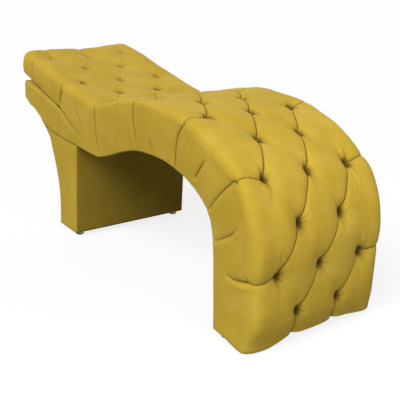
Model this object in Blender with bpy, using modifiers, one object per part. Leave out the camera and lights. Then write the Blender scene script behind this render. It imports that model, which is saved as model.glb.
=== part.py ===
"""Reclining beauty bed: an S-shaped upholstered body that stands on a front leg and a pedestal.

The body is a pair of S-shaped side panels with cross rails, a bent deck board, tufted foam
cushions and padded sides. At the head end a tufted head rest lies on a slab of the body, and
swings up on two ratchet hinges. +X is the foot end, +Z is up, and the origin is on the floor
under the middle of the bed.
"""
import math

import bmesh
import bpy
import numpy as np

for old in list(bpy.data.objects):
    bpy.data.objects.remove(old, do_unlink=True)

# Driving dimensions, in metres and radians
BED_LENGTH = 1.745
BED_WIDTH = 0.600
HUMP_HEIGHT = 0.737
GLIDE_HEIGHT = 0.020
HEAD_REST_LENGTH = 0.410
HEAD_REST_SLOPE = math.radians(10.7)
HEAD_REST_SWING = math.radians(45.0)
PAD_DEPTH_AT_HINGE = 0.102
FIT_GAP = 0.0003

# Upholstery, boards and rails
CUSHION_DEPTH = 0.055
SIDE_PAD_THICKNESS = 0.012
PANEL_THICKNESS = 0.015
DECK_THICKNESS = 0.008
UNDERSIDE_THICKNESS = 0.005
SLAB_BOARD_THICKNESS = 0.009
SLAB_PAD_THICKNESS = 0.008
RAIL_THICKNESS = 0.025
RAIL_HEIGHT = 0.042
FLOOR_BOARD_THICKNESS = 0.012

# Tufting: button spacing across the bed, and where the rows of buttons lie along the top
BUTTON_SPACING = 0.200
HINGE_ROW_DISTANCE = 0.006
SEAT_ROW_DISTANCE = 0.169
DIP_ROW_DISTANCE = 0.295
FOOT_ROW_DISTANCE = 0.109
HEAD_ROW_SPACING = 0.157
ROWS_DIP_TO_FOOT = 10
PILLOW_HEIGHT = 0.022
TUFT_DEPTH = 0.010
TUFT_RADIUS = 0.016
BODY_CROWN_HEIGHT = 0.010
HEAD_CROWN_HEIGHT = 0.022
SHOULDER_WIDTH = 0.010
SHOULDER_DROP = 0.004
SIDE_DRAW = 0.004
SIDE_MIDDLE_SHARE = 0.55
CREASE_RADIUS = 0.024
PLANE_FOOT_SHARE = 0.75
FACE_CLEARANCE = math.radians(1.0)
SPLIT_ROW = 4
FOOT_STATION_SHARES = (0.7, 0.4)
RAIL_ROWS = (("hinge_rail", 0.7), ("dip_rail", 2.1), ("seat_rail", 3.5), ("hump_rail", 5.0),
             ("knee_rail", 7.5), ("shin_rail", 10.0))

# Counts of points
CELLS_ACROSS = 24
UNDERSIDE_POINTS = 52
FLARE_POINTS = 24
HOLE_STEPS = 16

# Side view of the body: x from the hinge as a share of the distance from it to the foot end, and
# for the slab as a share of the distance to the head end; z as a share of the hump's height
TOP_LINE_SHARES = (
    (0.099, 0.902), (0.182, 0.886), (0.235, 0.882), (0.294, 0.912), (0.353, 0.950),
    (0.409, 0.978), (0.468, 0.996), (0.527, 1.000), (0.588, 0.988), (0.650, 0.974),
    (0.693, 0.961), (0.732, 0.938), (0.817, 0.875), (0.869, 0.829), (0.910, 0.784),
    (0.937, 0.733), (0.958, 0.657), (0.970, 0.574), (0.9765, 0.465), (0.9765, 0.300),
)
SLAB_UNDERSIDE_SHARES = ((-0.851, 0.738), (-0.694, 0.714), (-0.515, 0.668), (-0.353, 0.632), (-0.021, 0.608))
BODY_UNDERSIDE_SHARES = (
    (0.111, 0.598), (0.213, 0.591), (0.2615, 0.594), (0.315, 0.623), (0.408, 0.687),
    (0.477, 0.722), (0.5425, 0.734), (0.6025, 0.734), (0.650, 0.722), (0.719, 0.691),
    (0.778, 0.638), (0.813, 0.578), (0.8275, 0.525), (0.838, 0.440), (0.8485, 0.270),
)
LEG_BACK_SHARE = 0.859
LEG_FRONT_SHARE = 0.9765
SLAB_END_BOTTOM_SHARE = 0.783
SLAB_END_TOP_SHARE = 0.887
SLAB_SETBACK = 0.008
HINGE_HEIGHT_SHARE = 0.794
HEAD_END_DEPTH = 0.074

# Pedestal: a flat front, a floor and a back that flares up to the slab
PEDESTAL_FRONT_DISTANCE = 0.146
PEDESTAL_DEPTH = 0.165
PEDESTAL_COVER_THICKNESS = 0.008
PEDESTAL_BOARD_THICKNESS = 0.012
FLARE_SHARES = (
    (0.0, 0.0), (0.0, 0.22), (0.07, 0.42), (0.25, 0.62), (0.42, 0.76), (0.57, 0.87), (1.0, 1.0),
)
FLARE_LENGTH = 0.196
CUT_OVERRUN = 0.02

# Glides
GLIDE_RADIUS = 0.019
GLIDE_NECK_RADIUS = 0.013
GLIDE_SIDE_INSET = 0.030
GLIDE_INSET = 0.034
GLIDE_NECK_SHARE = 0.7
GLIDE_RIM_SHARE = 0.6
GLIDE_SKIRT_SHARE = 0.2
GLIDE_SOLE_SHARE = 0.85

# Ratchet hinges
ARM_THICKNESS = 0.004
PIVOT_RADIUS = 0.005
PIN_RADIUS = 0.0035
PIN_HEAD_THICKNESS = 0.003
PIN_HEAD_FLANGE_WIDTH = 0.0035
TOOTH_TIP_RADIUS = 0.030
TOOTH_ROOT_RADIUS = 0.026
SECTOR_HUB_RADIUS = 0.022
HUB_BACK_ANGLE = math.radians(190.0)
HUB_CLEARANCE = math.radians(3.0)
GAP_MOUTH_SHARE = 0.41
GAP_FLOOR_SHARE = 0.20
RATCHET_STEPS = 5
ENGAGE_ANGLE = math.radians(-80.0)
PAWL_PIVOT_RADIUS = 0.055
PAWL_PIVOT_ANGLE = math.radians(-45.0)
PAWL_LIFT = math.radians(12.0)
PAWL_RING_RADIUS = 0.008
PAWL_RING_START = math.radians(-110.0)
PAWL_RING_END = math.radians(100.0)
PAWL_SIDE_SHARE = 0.40
NOSE_BASE_SHARE = 0.16
NOSE_TIP_SHARE = 0.06
ARM_LENGTH = 0.150
ARM_LOW_OFFSET = 0.005
ARM_HIGH_OFFSET = 0.027
ARM_SHOULDER_SHARE = 1.7
ARM_NECK_SHARE = 1.2
STOP_PIN_DISTANCE = 0.040
SPRING_THICKNESS = 0.0012
BASE_ARM_EAR_RADIUS = 0.016
BASE_ARM_DEPTH = 0.085
BASE_ARM_REACH = 0.070
BASE_ARM_SHOULDER_SHARE = 0.40
BASE_ARM_HEEL_SHARE = 0.75
EAR_FRONT_ANGLE = math.radians(-20.0)
EAR_TOP_ANGLE = math.radians(90.0)
EAR_BACK_ANGLE = math.radians(250.0)

# Head rest frame
HEAD_RAIL_HEIGHT = 0.035
HEAD_BOARD_THICKNESS = 0.009
HEAD_LINING_THICKNESS = 0.003
HEAD_SKIRT_WIDTH = 0.040
HEAD_FRAME_DISTANCE = 0.070
HEAD_CORNER_RADIUS = 0.030
CORNER_DRAW_SHARE = 0.40

HALF_WIDTH = BED_WIDTH / 2
PANEL_OUTER = HALF_WIDTH - SIDE_PAD_THICKNESS - FIT_GAP
PANEL_INNER = PANEL_OUTER - PANEL_THICKNESS
ARM_OUTER = PANEL_INNER - FIT_GAP
ARM_INNER = ARM_OUTER - ARM_THICKNESS
SWING_ARM_OUTER = ARM_INNER - FIT_GAP
SWING_ARM_INNER = SWING_ARM_OUTER - ARM_THICKNESS
HINGE_X = HEAD_REST_LENGTH - BED_LENGTH / 2
BODY_LENGTH = BED_LENGTH - HEAD_REST_LENGTH
PEDESTAL_FRONT = HINGE_X + PEDESTAL_FRONT_DISTANCE
FOOT_TOP = GLIDE_HEIGHT + FLOOR_BOARD_THICKNESS + FIT_GAP
HINGE_Z = HINGE_HEIGHT_SHARE * HUMP_HEIGHT

part_collection = bpy.data.collections.new("reclining_beauty_bed")
cutter_collection = bpy.data.collections.new("cutters")
bpy.context.scene.collection.children.link(part_collection)
bpy.context.scene.collection.children.link(cutter_collection)


def make_material(name, colour, roughness, metallic=0.0):
    """A Principled material with one colour."""
    material = bpy.data.materials.new(name)
    material.use_nodes = True
    shader = material.node_tree.nodes["Principled BSDF"]
    shader.inputs["Base Color"].default_value = (*colour, 1.0)
    shader.inputs["Roughness"].default_value = roughness
    shader.inputs["Metallic"].default_value = metallic
    return material


suede = make_material("mustard_suede", (0.50, 0.36, 0.06), 0.85)
shaded_suede = make_material("lining_cloth", (0.16, 0.12, 0.03), 0.95)
plywood = make_material("plywood", (0.60, 0.44, 0.26), 0.60)
pine = make_material("pine", (0.70, 0.53, 0.33), 0.65)
steel = make_material("zinc_steel", (0.60, 0.60, 0.58), 0.35, 1.0)
chrome = make_material("chrome", (0.80, 0.80, 0.82), 0.12, 1.0)


def add(obj, material):
    """Give an object its material and put it with the bed's pieces."""
    obj.data.materials.clear()
    obj.data.materials.append(material)
    for collection in list(obj.users_collection):
        collection.objects.unlink(obj)
    part_collection.objects.link(obj)
    return obj


def plate(name, outlines, thickness, y_middle, material):
    """A flat piece in the side view: its first outline is its edge, the others are its holes."""
    curve = bpy.data.curves.new(name, "CURVE")
    curve.dimensions = "2D"
    curve.fill_mode = "BOTH"
    curve.extrude = thickness / 2
    for outline in outlines:
        spline = curve.splines.new("POLY")
        spline.points.add(len(outline) - 1)
        for point, (x, z) in zip(spline.points, outline):
            point.co = (x, z, 0.0, 1.0)
        spline.use_cyclic_u = True
    obj = bpy.data.objects.new(name, curve)
    obj.location = (0.0, y_middle, 0.0)
    obj.rotation_euler = (math.pi / 2, 0.0, 0.0)
    return add(obj, material)


def box(name, size, centre, material, turn=0.0):
    """A squared timber or board, turned about the bed's cross axis."""
    mesh = bpy.data.meshes.new(name)
    shape = bmesh.new()
    bmesh.ops.create_cube(shape, size=1.0)
    bmesh.ops.scale(shape, vec=size, verts=shape.verts)
    shape.to_mesh(mesh)
    shape.free()
    obj = bpy.data.objects.new(name, mesh)
    obj.location = centre
    obj.rotation_euler = (0.0, turn, 0.0)
    return add(obj, material)


def prism(name, outline, y_low, y_high):
    """A solid with one side view outline, from one y to another."""
    mesh = bpy.data.meshes.new(name)
    shape = bmesh.new()
    corners = [shape.verts.new((x, y_low, z)) for x, z in outline]
    face = shape.faces.new(corners)
    swept = bmesh.ops.extrude_face_region(shape, geom=[face])
    moved = [item for item in swept["geom"] if isinstance(item, bmesh.types.BMVert)]
    bmesh.ops.translate(shape, vec=(0.0, y_high - y_low, 0.0), verts=moved)
    bmesh.ops.recalc_face_normals(shape, faces=shape.faces)
    shape.to_mesh(mesh)
    shape.free()
    return bpy.data.objects.new(name, mesh)


def cutter(name, outline, half):
    """A prism across the bed that is cut out of another piece."""
    obj = prism(name, outline, -half, half)
    cutter_collection.objects.link(obj)
    obj.hide_render = True
    obj.display_type = "WIRE"
    return obj


def cut(obj, tool):
    """Cut one piece with a cutter."""
    modifier = obj.modifiers.new(tool.name, "BOOLEAN")
    modifier.operation = "DIFFERENCE"
    modifier.object = tool
    modifier.solver = "EXACT"


def turned(name, profile, steps, location, rotation, material):
    """A turned piece: a profile of (radius, height) points, from its top to its bottom."""
    mesh = bpy.data.meshes.new(name)
    points = [(radius, 0.0, height) for radius, height in profile]
    mesh.from_pydata(points, [(i, i + 1) for i in range(len(points) - 1)], [])
    obj = bpy.data.objects.new(name, mesh)
    screw = obj.modifiers.new("turn", "SCREW")
    screw.steps = steps
    screw.render_steps = steps
    screw.use_merge_vertices = True
    screw.merge_threshold = FIT_GAP / 10
    obj.location = location
    obj.rotation_euler = rotation
    return add(obj, material)


def loft(name, sections, material):
    """Join rings of (x, y, z, height) points into one capped body, its folds along the valleys.

    Where a cell's two diagonals are level, the one that leans inwards is the fold on both sides.
    """
    rings = np.asarray(sections, dtype=float)
    count, ring = rings.shape[:2]
    heights = rings[:, :, 3].ravel()
    faces = []
    for i in range(count - 1):
        for j in range(ring):
            after = (j + 1) % ring
            a, b = i * ring + j, i * ring + after
            c, d = b + ring, a + ring
            level = FIT_GAP / 10 if j < ring // 2 else -FIT_GAP / 10
            if heights[a] + heights[c] < heights[b] + heights[d] + level:
                faces += [(a, b, c), (a, c, d)]
            else:
                faces += [(a, b, d), (b, c, d)]
    faces.append(tuple(range(ring)))
    faces.append(tuple(range((count - 1) * ring, count * ring)))
    mesh = bpy.data.meshes.new(name)
    mesh.from_pydata(rings[:, :, :3].reshape(-1, 3).tolist(), [], faces)
    shape = bmesh.new()
    shape.from_mesh(mesh)
    bmesh.ops.recalc_face_normals(shape, faces=shape.faces)
    shape.to_mesh(mesh)
    shape.free()
    mesh.shade_smooth()
    mesh.set_sharp_from_angle(angle=math.radians(50.0))
    return add(bpy.data.objects.new(name, mesh), material)


def smooth_line(points, parts=6):
    """A Catmull-Rom curve through points, whose first and last only steer its ends."""
    points = np.asarray(points, dtype=float)
    t = np.linspace(0.0, 1.0, parts, endpoint=False)[:, None]
    pieces = []
    for a, b, c, d in zip(points, points[1:], points[2:], points[3:]):
        pieces.append(0.5 * (2 * b + (c - a) * t + (2 * a - 5 * b + 4 * c - d) * t ** 2
                             + (3 * b - a - 3 * c + d) * t ** 3))
    pieces.append(points[-2:-1])
    return np.vstack(pieces)


def walk(line, distance):
    """The point and the left-hand normal at distances along a line of points."""
    steps = np.diff(line, axis=0)
    lengths = np.hypot(steps[:, 0], steps[:, 1])
    along = np.concatenate([[0.0], np.cumsum(lengths)])
    tangents = np.gradient(line, along, axis=0)
    x = np.interp(distance, along, line[:, 0])
    z = np.interp(distance, along, line[:, 1])
    tx = np.interp(distance, along, tangents[:, 0])
    tz = np.interp(distance, along, tangents[:, 1])
    size = np.hypot(tx, tz)
    return np.stack([x, z], -1), np.stack([-tz / size, tx / size], -1)


def line_length(line):
    """The length along a line of points."""
    return float(np.sum(np.hypot(*np.diff(line, axis=0).T)))


def from_shares(shares, length=BODY_LENGTH):
    """Side view points from shares of a length, measured from the hinge, and of the hump's height."""
    return [(HINGE_X + x * length, z * HUMP_HEIGHT) for x, z in shares]


def polar(radius, angle, centre=(HINGE_X, HINGE_Z)):
    """A side view point at a radius and angle from a centre, by default the hinge axis."""
    return (centre[0] + radius * math.cos(angle), centre[1] + radius * math.sin(angle))


def arc(radius, start, end, steps, centre=(HINGE_X, HINGE_Z)):
    """Points along an arc in the side view."""
    return [polar(radius, start + (end - start) * i / steps, centre) for i in range(steps + 1)]


# The top line runs from the hinge plane over the dip and the hump, and down the leg to its foot
slope_cos = math.cos(HEAD_REST_SLOPE)
slope_sin = math.sin(HEAD_REST_SLOPE)
TOP_START = (HINGE_X + PAD_DEPTH_AT_HINGE * slope_sin, HINGE_Z + PAD_DEPTH_AT_HINGE * slope_cos)
lead_in = HEAD_REST_LENGTH / 4
before_start = (TOP_START[0] - lead_in * slope_cos, TOP_START[1] + lead_in * slope_sin)
leg_front = HINGE_X + LEG_FRONT_SHARE * BODY_LENGTH
leg_foot = [(leg_front, GLIDE_HEIGHT), (leg_front, -GLIDE_HEIGHT)]
top_line = smooth_line([before_start, TOP_START, *from_shares(TOP_LINE_SHARES), *leg_foot])
TOP_LENGTH = line_length(top_line)

leg_back = HINGE_X + LEG_BACK_SHARE * BODY_LENGTH
slab_end_x = SLAB_SETBACK - BED_LENGTH / 2
slab_end_low = (slab_end_x, SLAB_END_BOTTOM_SHARE * HUMP_HEIGHT)
leg_heel = [(leg_back, GLIDE_HEIGHT), (leg_back, -GLIDE_HEIGHT)]
before_slab = (slab_end_x - SIDE_PAD_THICKNESS, slab_end_low[1] + SIDE_PAD_THICKNESS)
slab_underside = [slab_end_low, *from_shares(SLAB_UNDERSIDE_SHARES, HEAD_REST_LENGTH)]
underside = smooth_line([before_slab, *slab_underside, *from_shares(BODY_UNDERSIDE_SHARES), *leg_heel], 4)


def underside_inset(depth, first_x, bottom=GLIDE_HEIGHT):
    """The underside line moved up into the body, from a first x to the foot."""
    points, normals = walk(underside, np.linspace(0.0, line_length(underside), UNDERSIDE_POINTS))
    moved = points + normals * depth
    moved[-1, 1] = bottom
    start_z = float(np.interp(first_x, moved[:, 0], moved[:, 1]))
    return [(first_x, start_z), *[tuple(p) for p in moved if p[0] > first_x]]


underside_points = underside_inset(0.0, slab_end_x)
board_top_points = underside_inset(UNDERSIDE_THICKNESS + 2 * FIT_GAP, slab_end_x)


def underside_z(x, points=underside_points):
    """The height at an x ahead of the leg of the underside, or of a line along it."""
    ahead = [point for point in points if point[0] < leg_back - CUSHION_DEPTH]
    return float(np.interp(x, [p[0] for p in ahead], [p[1] for p in ahead]))


# Slab top, which the head rest lies above: it rises from just under the hinge to the head end
slab_end_high = (slab_end_x, SLAB_END_TOP_SHARE * HUMP_HEIGHT)
slab_low_start = (HINGE_X - STOP_PIN_DISTANCE / 2, HINGE_Z - BASE_ARM_EAR_RADIUS / 2)


def slab_top(x, depth=0.0):
    """The height of the slab's top at an x, less a depth."""
    share = (x - slab_low_start[0]) / (slab_end_high[0] - slab_low_start[0])
    return slab_low_start[1] + share * (slab_end_high[1] - slab_low_start[1]) - depth


# Tufting
row_stations = [-HINGE_ROW_DISTANCE - rows * HEAD_ROW_SPACING for rows in (2, 1)]
row_stations += [HINGE_ROW_DISTANCE, SEAT_ROW_DISTANCE]
row_stations += list(np.linspace(DIP_ROW_DISTANCE, TOP_LENGTH - FOOT_ROW_DISTANCE, ROWS_DIP_TO_FOOT))
row_numbers = np.arange(len(row_stations)) - 2.0
buttons = []
for number, station in zip(row_numbers, row_stations):
    for place in ((-1, 1) if number % 2 else (-2, 0, 2)):
        buttons.append((station, place * BUTTON_SPACING / 2))


def tufted_height(station, y, crown):
    """Height over the shoulder line: a crown, diamond pillows between buttons, and their dimples."""
    across = np.abs(y) / HALF_WIDTH
    sigma = np.interp(station, row_stations, row_numbers)
    eta = np.minimum(np.abs(y), BUTTON_SPACING) / (BUTTON_SPACING / 2)
    diamonds = np.abs(np.sin(np.pi * (sigma + eta) / 2) * np.sin(np.pi * (sigma - eta) / 2))
    height = crown * (1.0 - across ** 4) + PILLOW_HEIGHT * np.sqrt(diamonds) * (1.0 - across ** 8)
    for row, place in buttons:
        height = height - TUFT_DEPTH * np.exp(-((station - row) ** 2 + (y - place) ** 2) / TUFT_RADIUS ** 2)
    return height


grid_y = np.linspace(-1.0, 1.0, CELLS_ACROSS + 1) * (HALF_WIDTH - SHOULDER_WIDTH)


def cushion_section(station, foot, top, crown, draw):
    """One ring across a cushion, from its bottom corner up a side, over the top and down again."""
    foot = np.asarray(foot)
    top = np.asarray(top)
    depth = float(np.hypot(*(top - foot)))
    up = (top - foot) / depth
    half = HALF_WIDTH - draw
    heights = depth + tufted_height(station, grid_y, crown)
    shoulder = (half - SHOULDER_WIDTH / 4, depth - SHOULDER_DROP)
    side = [(half, 0.0), (half, depth * SIDE_MIDDLE_SHARE), shoulder]
    ring = [(-y, h) for y, h in side]
    ring += list(zip(grid_y * half / HALF_WIDTH, heights))
    ring += [(y, h) for y, h in reversed(side)]
    return [(foot[0] + up[0] * h, y, foot[1] + up[1] * h, h - depth) for y, h in ring]


def body_cushion(name, stations):
    """A tufted cushion along the top line."""
    points, normals = walk(top_line, np.asarray(stations))
    span = stations[-1] - stations[0]
    sections = []
    for station, point, normal in zip(stations, points, normals):
        draw = SIDE_DRAW * math.sin(math.pi * (station - stations[0]) / span)
        foot = point - normal * CUSHION_DEPTH
        sections.append(cushion_section(station, foot, point, BODY_CROWN_HEIGHT, draw))
    return loft(name, sections, suede)


def between_rows(first, last, steps=4):
    """Stations from one row of buttons to another, with even steps between rows."""
    numbers = np.linspace(first, last, int(round((last - first) * steps)) + 1)
    return list(np.interp(numbers, row_numbers, row_stations))


seat_stations = between_rows(0, SPLIT_ROW)
seat_stations[0] = FIT_GAP
leg_stations = between_rows(SPLIT_ROW, row_numbers[-1])
leg_stations[0] += FIT_GAP
leg_stations += [TOP_LENGTH - FOOT_ROW_DISTANCE * share for share in FOOT_STATION_SHARES]
leg_stations += [TOP_LENGTH - FLOOR_BOARD_THICKNESS - FIT_GAP]
body_cushion("seat_cushion", seat_stations)
body_cushion("leg_cushion", leg_stations)


def top_inset(depth, start=0.0, more_stations=()):
    """The top line moved inwards by a depth, with a point at each of the cushions' stations."""
    points, normals = walk(top_line, np.array([start, *seat_stations[1:], *leg_stations[1:], *more_stations]))
    return [tuple(p) for p in points - normals * depth]


# Head rest, worked out along its own bottom line, which rises from the hinge axis
head_rise = (TOP_START[0] + BED_LENGTH / 2) * math.tan(HEAD_REST_SLOPE)
head_top_end = (-BED_LENGTH / 2, TOP_START[1] + head_rise)
head_low_end = (-BED_LENGTH / 2, head_top_end[1] - HEAD_END_DEPTH)
pad_angle = math.atan2(head_low_end[1] - HINGE_Z, HINGE_X - head_low_end[0])
face_angle = math.pi / 2 - HEAD_REST_SLOPE + HEAD_REST_SWING + FACE_CLEARANCE


def head_point(along, up):
    """A side view point from a distance along the head rest's bottom and a height above it."""
    x = HINGE_X - along * math.cos(pad_angle) + up * math.sin(pad_angle)
    return (x, HINGE_Z + along * math.sin(pad_angle) + up * math.cos(pad_angle))


head_length = HEAD_REST_LENGTH / math.cos(pad_angle)


def head_top_z(x):
    """The height of the head rest's shoulder line."""
    return TOP_START[1] + (TOP_START[0] - x) * math.tan(HEAD_REST_SLOPE)


def face_top():
    """Where the head rest's slanted front face meets its shoulder line."""
    rise = math.sin(face_angle) + math.cos(face_angle) * math.tan(HEAD_REST_SLOPE)
    radius = (head_top_z(HINGE_X) - HINGE_Z) / rise
    return polar(radius, face_angle)


def crease_sections(radius_low):
    """Rings of the soft wedge between the head rest and the seat cushion."""
    sections = []
    low = math.pi / 2 - HEAD_REST_SLOPE
    for share in np.linspace(0.0, 1.0, 5):
        angle = low + (face_angle - low) * share
        rise = math.sin(angle) + math.cos(angle) * math.tan(HEAD_REST_SLOPE)
        top = polar((head_top_z(HINGE_X) - HINGE_Z) / rise, angle)
        top_station = -(TOP_START[0] - top[0]) / slope_cos
        foot = polar(radius_low, angle)
        crown = BODY_CROWN_HEIGHT + (HEAD_CROWN_HEIGHT - BODY_CROWN_HEIGHT) * share
        sections.append((top_station, foot, top, crown))
    return sections


wedge = crease_sections(CREASE_RADIUS)
wedge_rings = []
for index, (station, foot, top, crown) in enumerate(wedge):
    inwards = {0: -FIT_GAP, len(wedge) - 1: FIT_GAP}.get(index, 0.0)
    ring = cushion_section(station, foot, top, crown, SIDE_DRAW / 2)
    wedge_rings.append([(x + inwards, y, z, height) for x, y, z, height in ring])
loft("crease_foam", wedge_rings, suede)

face_low = polar(CREASE_RADIUS, face_angle)
face_high = face_top()
head_stations = between_rows(-2, -1)[::-1]
face_station = -(TOP_START[0] - face_high[0]) / slope_cos
row_before = [s for s in head_stations if s < face_station - TUFT_RADIUS / 2]
end_station = -(TOP_START[0] + BED_LENGTH / 2) / slope_cos
head_list = [face_station, *row_before]
head_list += list(np.linspace(row_before[-1], end_station, 5))[1:]
head_sections = []
for station in head_list:
    share = (station - face_station) / (end_station - face_station)
    top_x = TOP_START[0] + station * slope_cos
    foot_x = face_low[0] + share * (head_low_end[0] - face_low[0])
    foot_z = HINGE_Z + (HINGE_X - foot_x) * math.tan(pad_angle)
    foot = face_low if share == 0.0 else (foot_x, foot_z)
    corner = max(0.0, 1.0 - (station - end_station) / HEAD_CORNER_RADIUS)
    draw = SIDE_DRAW * math.sin(math.pi * share) + HEAD_CORNER_RADIUS * CORNER_DRAW_SHARE * corner ** 2
    head_sections.append(cushion_section(station, foot, (top_x, head_top_z(top_x)), HEAD_CROWN_HEIGHT, draw))
head_cushion = loft("head_cushion", head_sections, suede)

recess_height = HEAD_LINING_THICKNESS + HEAD_RAIL_HEIGHT + HEAD_BOARD_THICKNESS + 4 * FIT_GAP
recess_end = head_length - HEAD_SKIRT_WIDTH
recess = [head_point(0.0, -CUT_OVERRUN), head_point(0.0, BASE_ARM_EAR_RADIUS)]
recess += [head_point(HEAD_FRAME_DISTANCE - FIT_GAP, recess_height), head_point(recess_end, recess_height)]
recess += [head_point(recess_end, -CUT_OVERRUN)]
cut(head_cushion, cutter("head_recess", recess, PANEL_INNER))

# Seat frame: padded sides, side panels, deck, rails and underside, one inside the other
deck_depth = CUSHION_DEPTH + FIT_GAP
panel_depth = deck_depth + DECK_THICKNESS + FIT_GAP
slab_board_depth = SLAB_PAD_THICKNESS + FIT_GAP
slab_panel_depth = slab_board_depth + SLAB_BOARD_THICKNESS + FIT_GAP
slab_inside_x = slab_end_x + SIDE_PAD_THICKNESS + FIT_GAP
slab_pad_end = HINGE_X - STOP_PIN_DISTANCE - BASE_ARM_EAR_RADIUS
plane_angle = math.pi / 2 - HEAD_REST_SLOPE
plane_foot = polar(CREASE_RADIUS * PLANE_FOOT_SHARE, plane_angle)
inner_half = PANEL_INNER - FIT_GAP


def body_outline(lift, first_x, depth, slab_depth, bottom, foot_stations):
    """The closed side view of a side piece, moved inwards from the covers by three depths."""
    outline = underside_inset(lift, first_x, bottom)
    outline += top_inset(depth, 0.0, foot_stations)[::-1]
    outline += [plane_foot, (slab_low_start[0], slab_top(slab_low_start[0], slab_depth))]
    outline += [(first_x, slab_top(first_x, slab_depth))]
    return outline


side_pad_outline = body_outline(0.0, slab_end_x, deck_depth, 0.0, GLIDE_HEIGHT, [TOP_LENGTH])
underside_depth = UNDERSIDE_THICKNESS + FIT_GAP
panel_outline = body_outline(underside_depth, slab_inside_x, panel_depth, slab_panel_depth, FOOT_TOP, [])
for side, word in ((-1, "right"), (1, "left")):
    pad_middle = side * (HALF_WIDTH - SIDE_PAD_THICKNESS / 2)
    panel_middle = side * (PANEL_OUTER - PANEL_THICKNESS / 2)
    plate(f"side_pad_{word}", [side_pad_outline], SIDE_PAD_THICKNESS, pad_middle, suede)
    plate(f"side_panel_{word}", [panel_outline], PANEL_THICKNESS, panel_middle, plywood)

deck_outline = top_inset(deck_depth, FIT_GAP) + top_inset(deck_depth + DECK_THICKNESS, FIT_GAP)[::-1]
plate("deck_board", [deck_outline], 2 * PANEL_OUTER, 0.0, plywood)
underside_outline = underside_inset(0.0, slab_inside_x)
underside_outline += underside_inset(UNDERSIDE_THICKNESS, slab_inside_x)[::-1]
plate("underside_board", [underside_outline], 2 * PANEL_OUTER, 0.0, shaded_suede)


def slab_piece(name, x_low, x_high, low, high, half, material):
    """A piece of the slab between two heights, each a function of x."""
    outline = [(x_low, low(x_low)), (x_high, low(x_high)), (x_high, high(x_high)), (x_low, high(x_low))]
    return plate(name, [outline], 2 * half, 0.0, material)


slab_piece("slab_pad", slab_inside_x, slab_pad_end, lambda x: slab_top(x, SLAB_PAD_THICKNESS), slab_top,
           PANEL_OUTER, suede)
slab_piece("slab_board", slab_inside_x, slab_pad_end, lambda x: slab_top(x, slab_panel_depth - FIT_GAP),
           lambda x: slab_top(x, slab_board_depth), PANEL_OUTER, plywood)
slab_piece("slab_end_pad", slab_end_x, slab_end_x + SIDE_PAD_THICKNESS, underside_z, slab_top,
           PANEL_OUTER, suede)
middle_rail_x = slab_pad_end - 2 * RAIL_THICKNESS
for name, x_low in (("slab_end_rail", slab_inside_x), ("slab_middle_rail", middle_rail_x)):
    slab_piece(name, x_low, x_low + RAIL_THICKNESS, lambda x: underside_z(x, board_top_points),
               lambda x: slab_top(x, slab_panel_depth), inner_half, pine)


def deck_rail(name, station):
    """A cross rail under the deck board, square to it, its corners just clear of the board."""
    reach = RAIL_THICKNESS / 2
    points, normals = walk(top_line, np.array([station, station - reach, station + reach]))
    under = points - normals * panel_depth
    drop = max(0.0, *[float((under[0] - corner) @ normals[0]) for corner in under[1:]])
    centre = under[0] - normals[0] * (drop + RAIL_HEIGHT / 2)
    turn = math.atan2(normals[0, 0], normals[0, 1])
    size = (RAIL_THICKNESS, 2 * inner_half, RAIL_HEIGHT)
    return box(name, size, (centre[0], 0.0, centre[1]), pine, turn)


for name, row in RAIL_ROWS:
    deck_rail(name, float(np.interp(row, row_numbers, row_stations)))


def floor_board(name, x_low, x_high, half):
    """A board across the foot of the leg or pedestal, which the glides screw into."""
    size = (x_high - x_low, 2 * half, FLOOR_BOARD_THICKNESS)
    centre = ((x_low + x_high) / 2, 0.0, GLIDE_HEIGHT + FLOOR_BOARD_THICKNESS / 2)
    return box(name, size, centre, plywood)


floor_board("foot_board", leg_back + UNDERSIDE_THICKNESS + 2 * FIT_GAP, leg_front, PANEL_OUTER)

# Pedestal: boards inside a padded cover
pedestal_back = PEDESTAL_FRONT - PEDESTAL_DEPTH
flare_top_x = pedestal_back - FLARE_LENGTH
flare_rise = underside_z(flare_top_x) - FIT_GAP - GLIDE_HEIGHT
flare_points = [(pedestal_back - x * FLARE_LENGTH, GLIDE_HEIGHT + z * flare_rise) for x, z in FLARE_SHARES]
below_flare = (pedestal_back, GLIDE_HEIGHT - CUT_OVERRUN)
flare_end, flare_near_end = flare_points[-1], flare_points[-2]
above_flare = (2 * flare_end[0] - flare_near_end[0], 2 * flare_end[1] - flare_near_end[1])
flare = smooth_line([below_flare, *flare_points, above_flare], 5)


def flare_inset(depth):
    """The pedestal's back line moved forwards by a depth, from its foot up to the underside."""
    points, normals = walk(flare, np.linspace(0.0, line_length(flare), FLARE_POINTS))
    moved = points - normals * depth
    moved[0, 1] = GLIDE_HEIGHT
    room = np.array([underside_z(x) - FIT_GAP - z for x, z in moved])
    if room[-1] >= 0.0:
        return [tuple(p) for p in moved]
    over = int(np.argmax(room < 0.0))
    inside, outside = moved[over - 1], moved[over]
    for _ in range(20):
        middle = (inside + outside) / 2
        if underside_z(middle[0]) - FIT_GAP > middle[1]:
            inside = middle
        else:
            outside = middle
    return [*[tuple(p) for p in moved[:over - 1]], tuple(inside)]


def under_body(x_low, x_high):
    """Points just below the underside from a higher x down to a lower one."""
    first_x = x_low + PEDESTAL_COVER_THICKNESS / 4
    inside = [(x, z - FIT_GAP) for x, z in underside_points if first_x < x < x_high]
    return [(x_high, underside_z(x_high) - FIT_GAP), *inside[::-1]]


def pedestal_outline(front_depth, back_depth):
    """The closed side view of a pedestal piece, moved inwards from the cover by two depths."""
    back = flare_inset(back_depth)
    front = PEDESTAL_FRONT - front_depth
    return [(front, GLIDE_HEIGHT), *under_body(back[-1][0], front), *back[::-1]]


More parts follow.
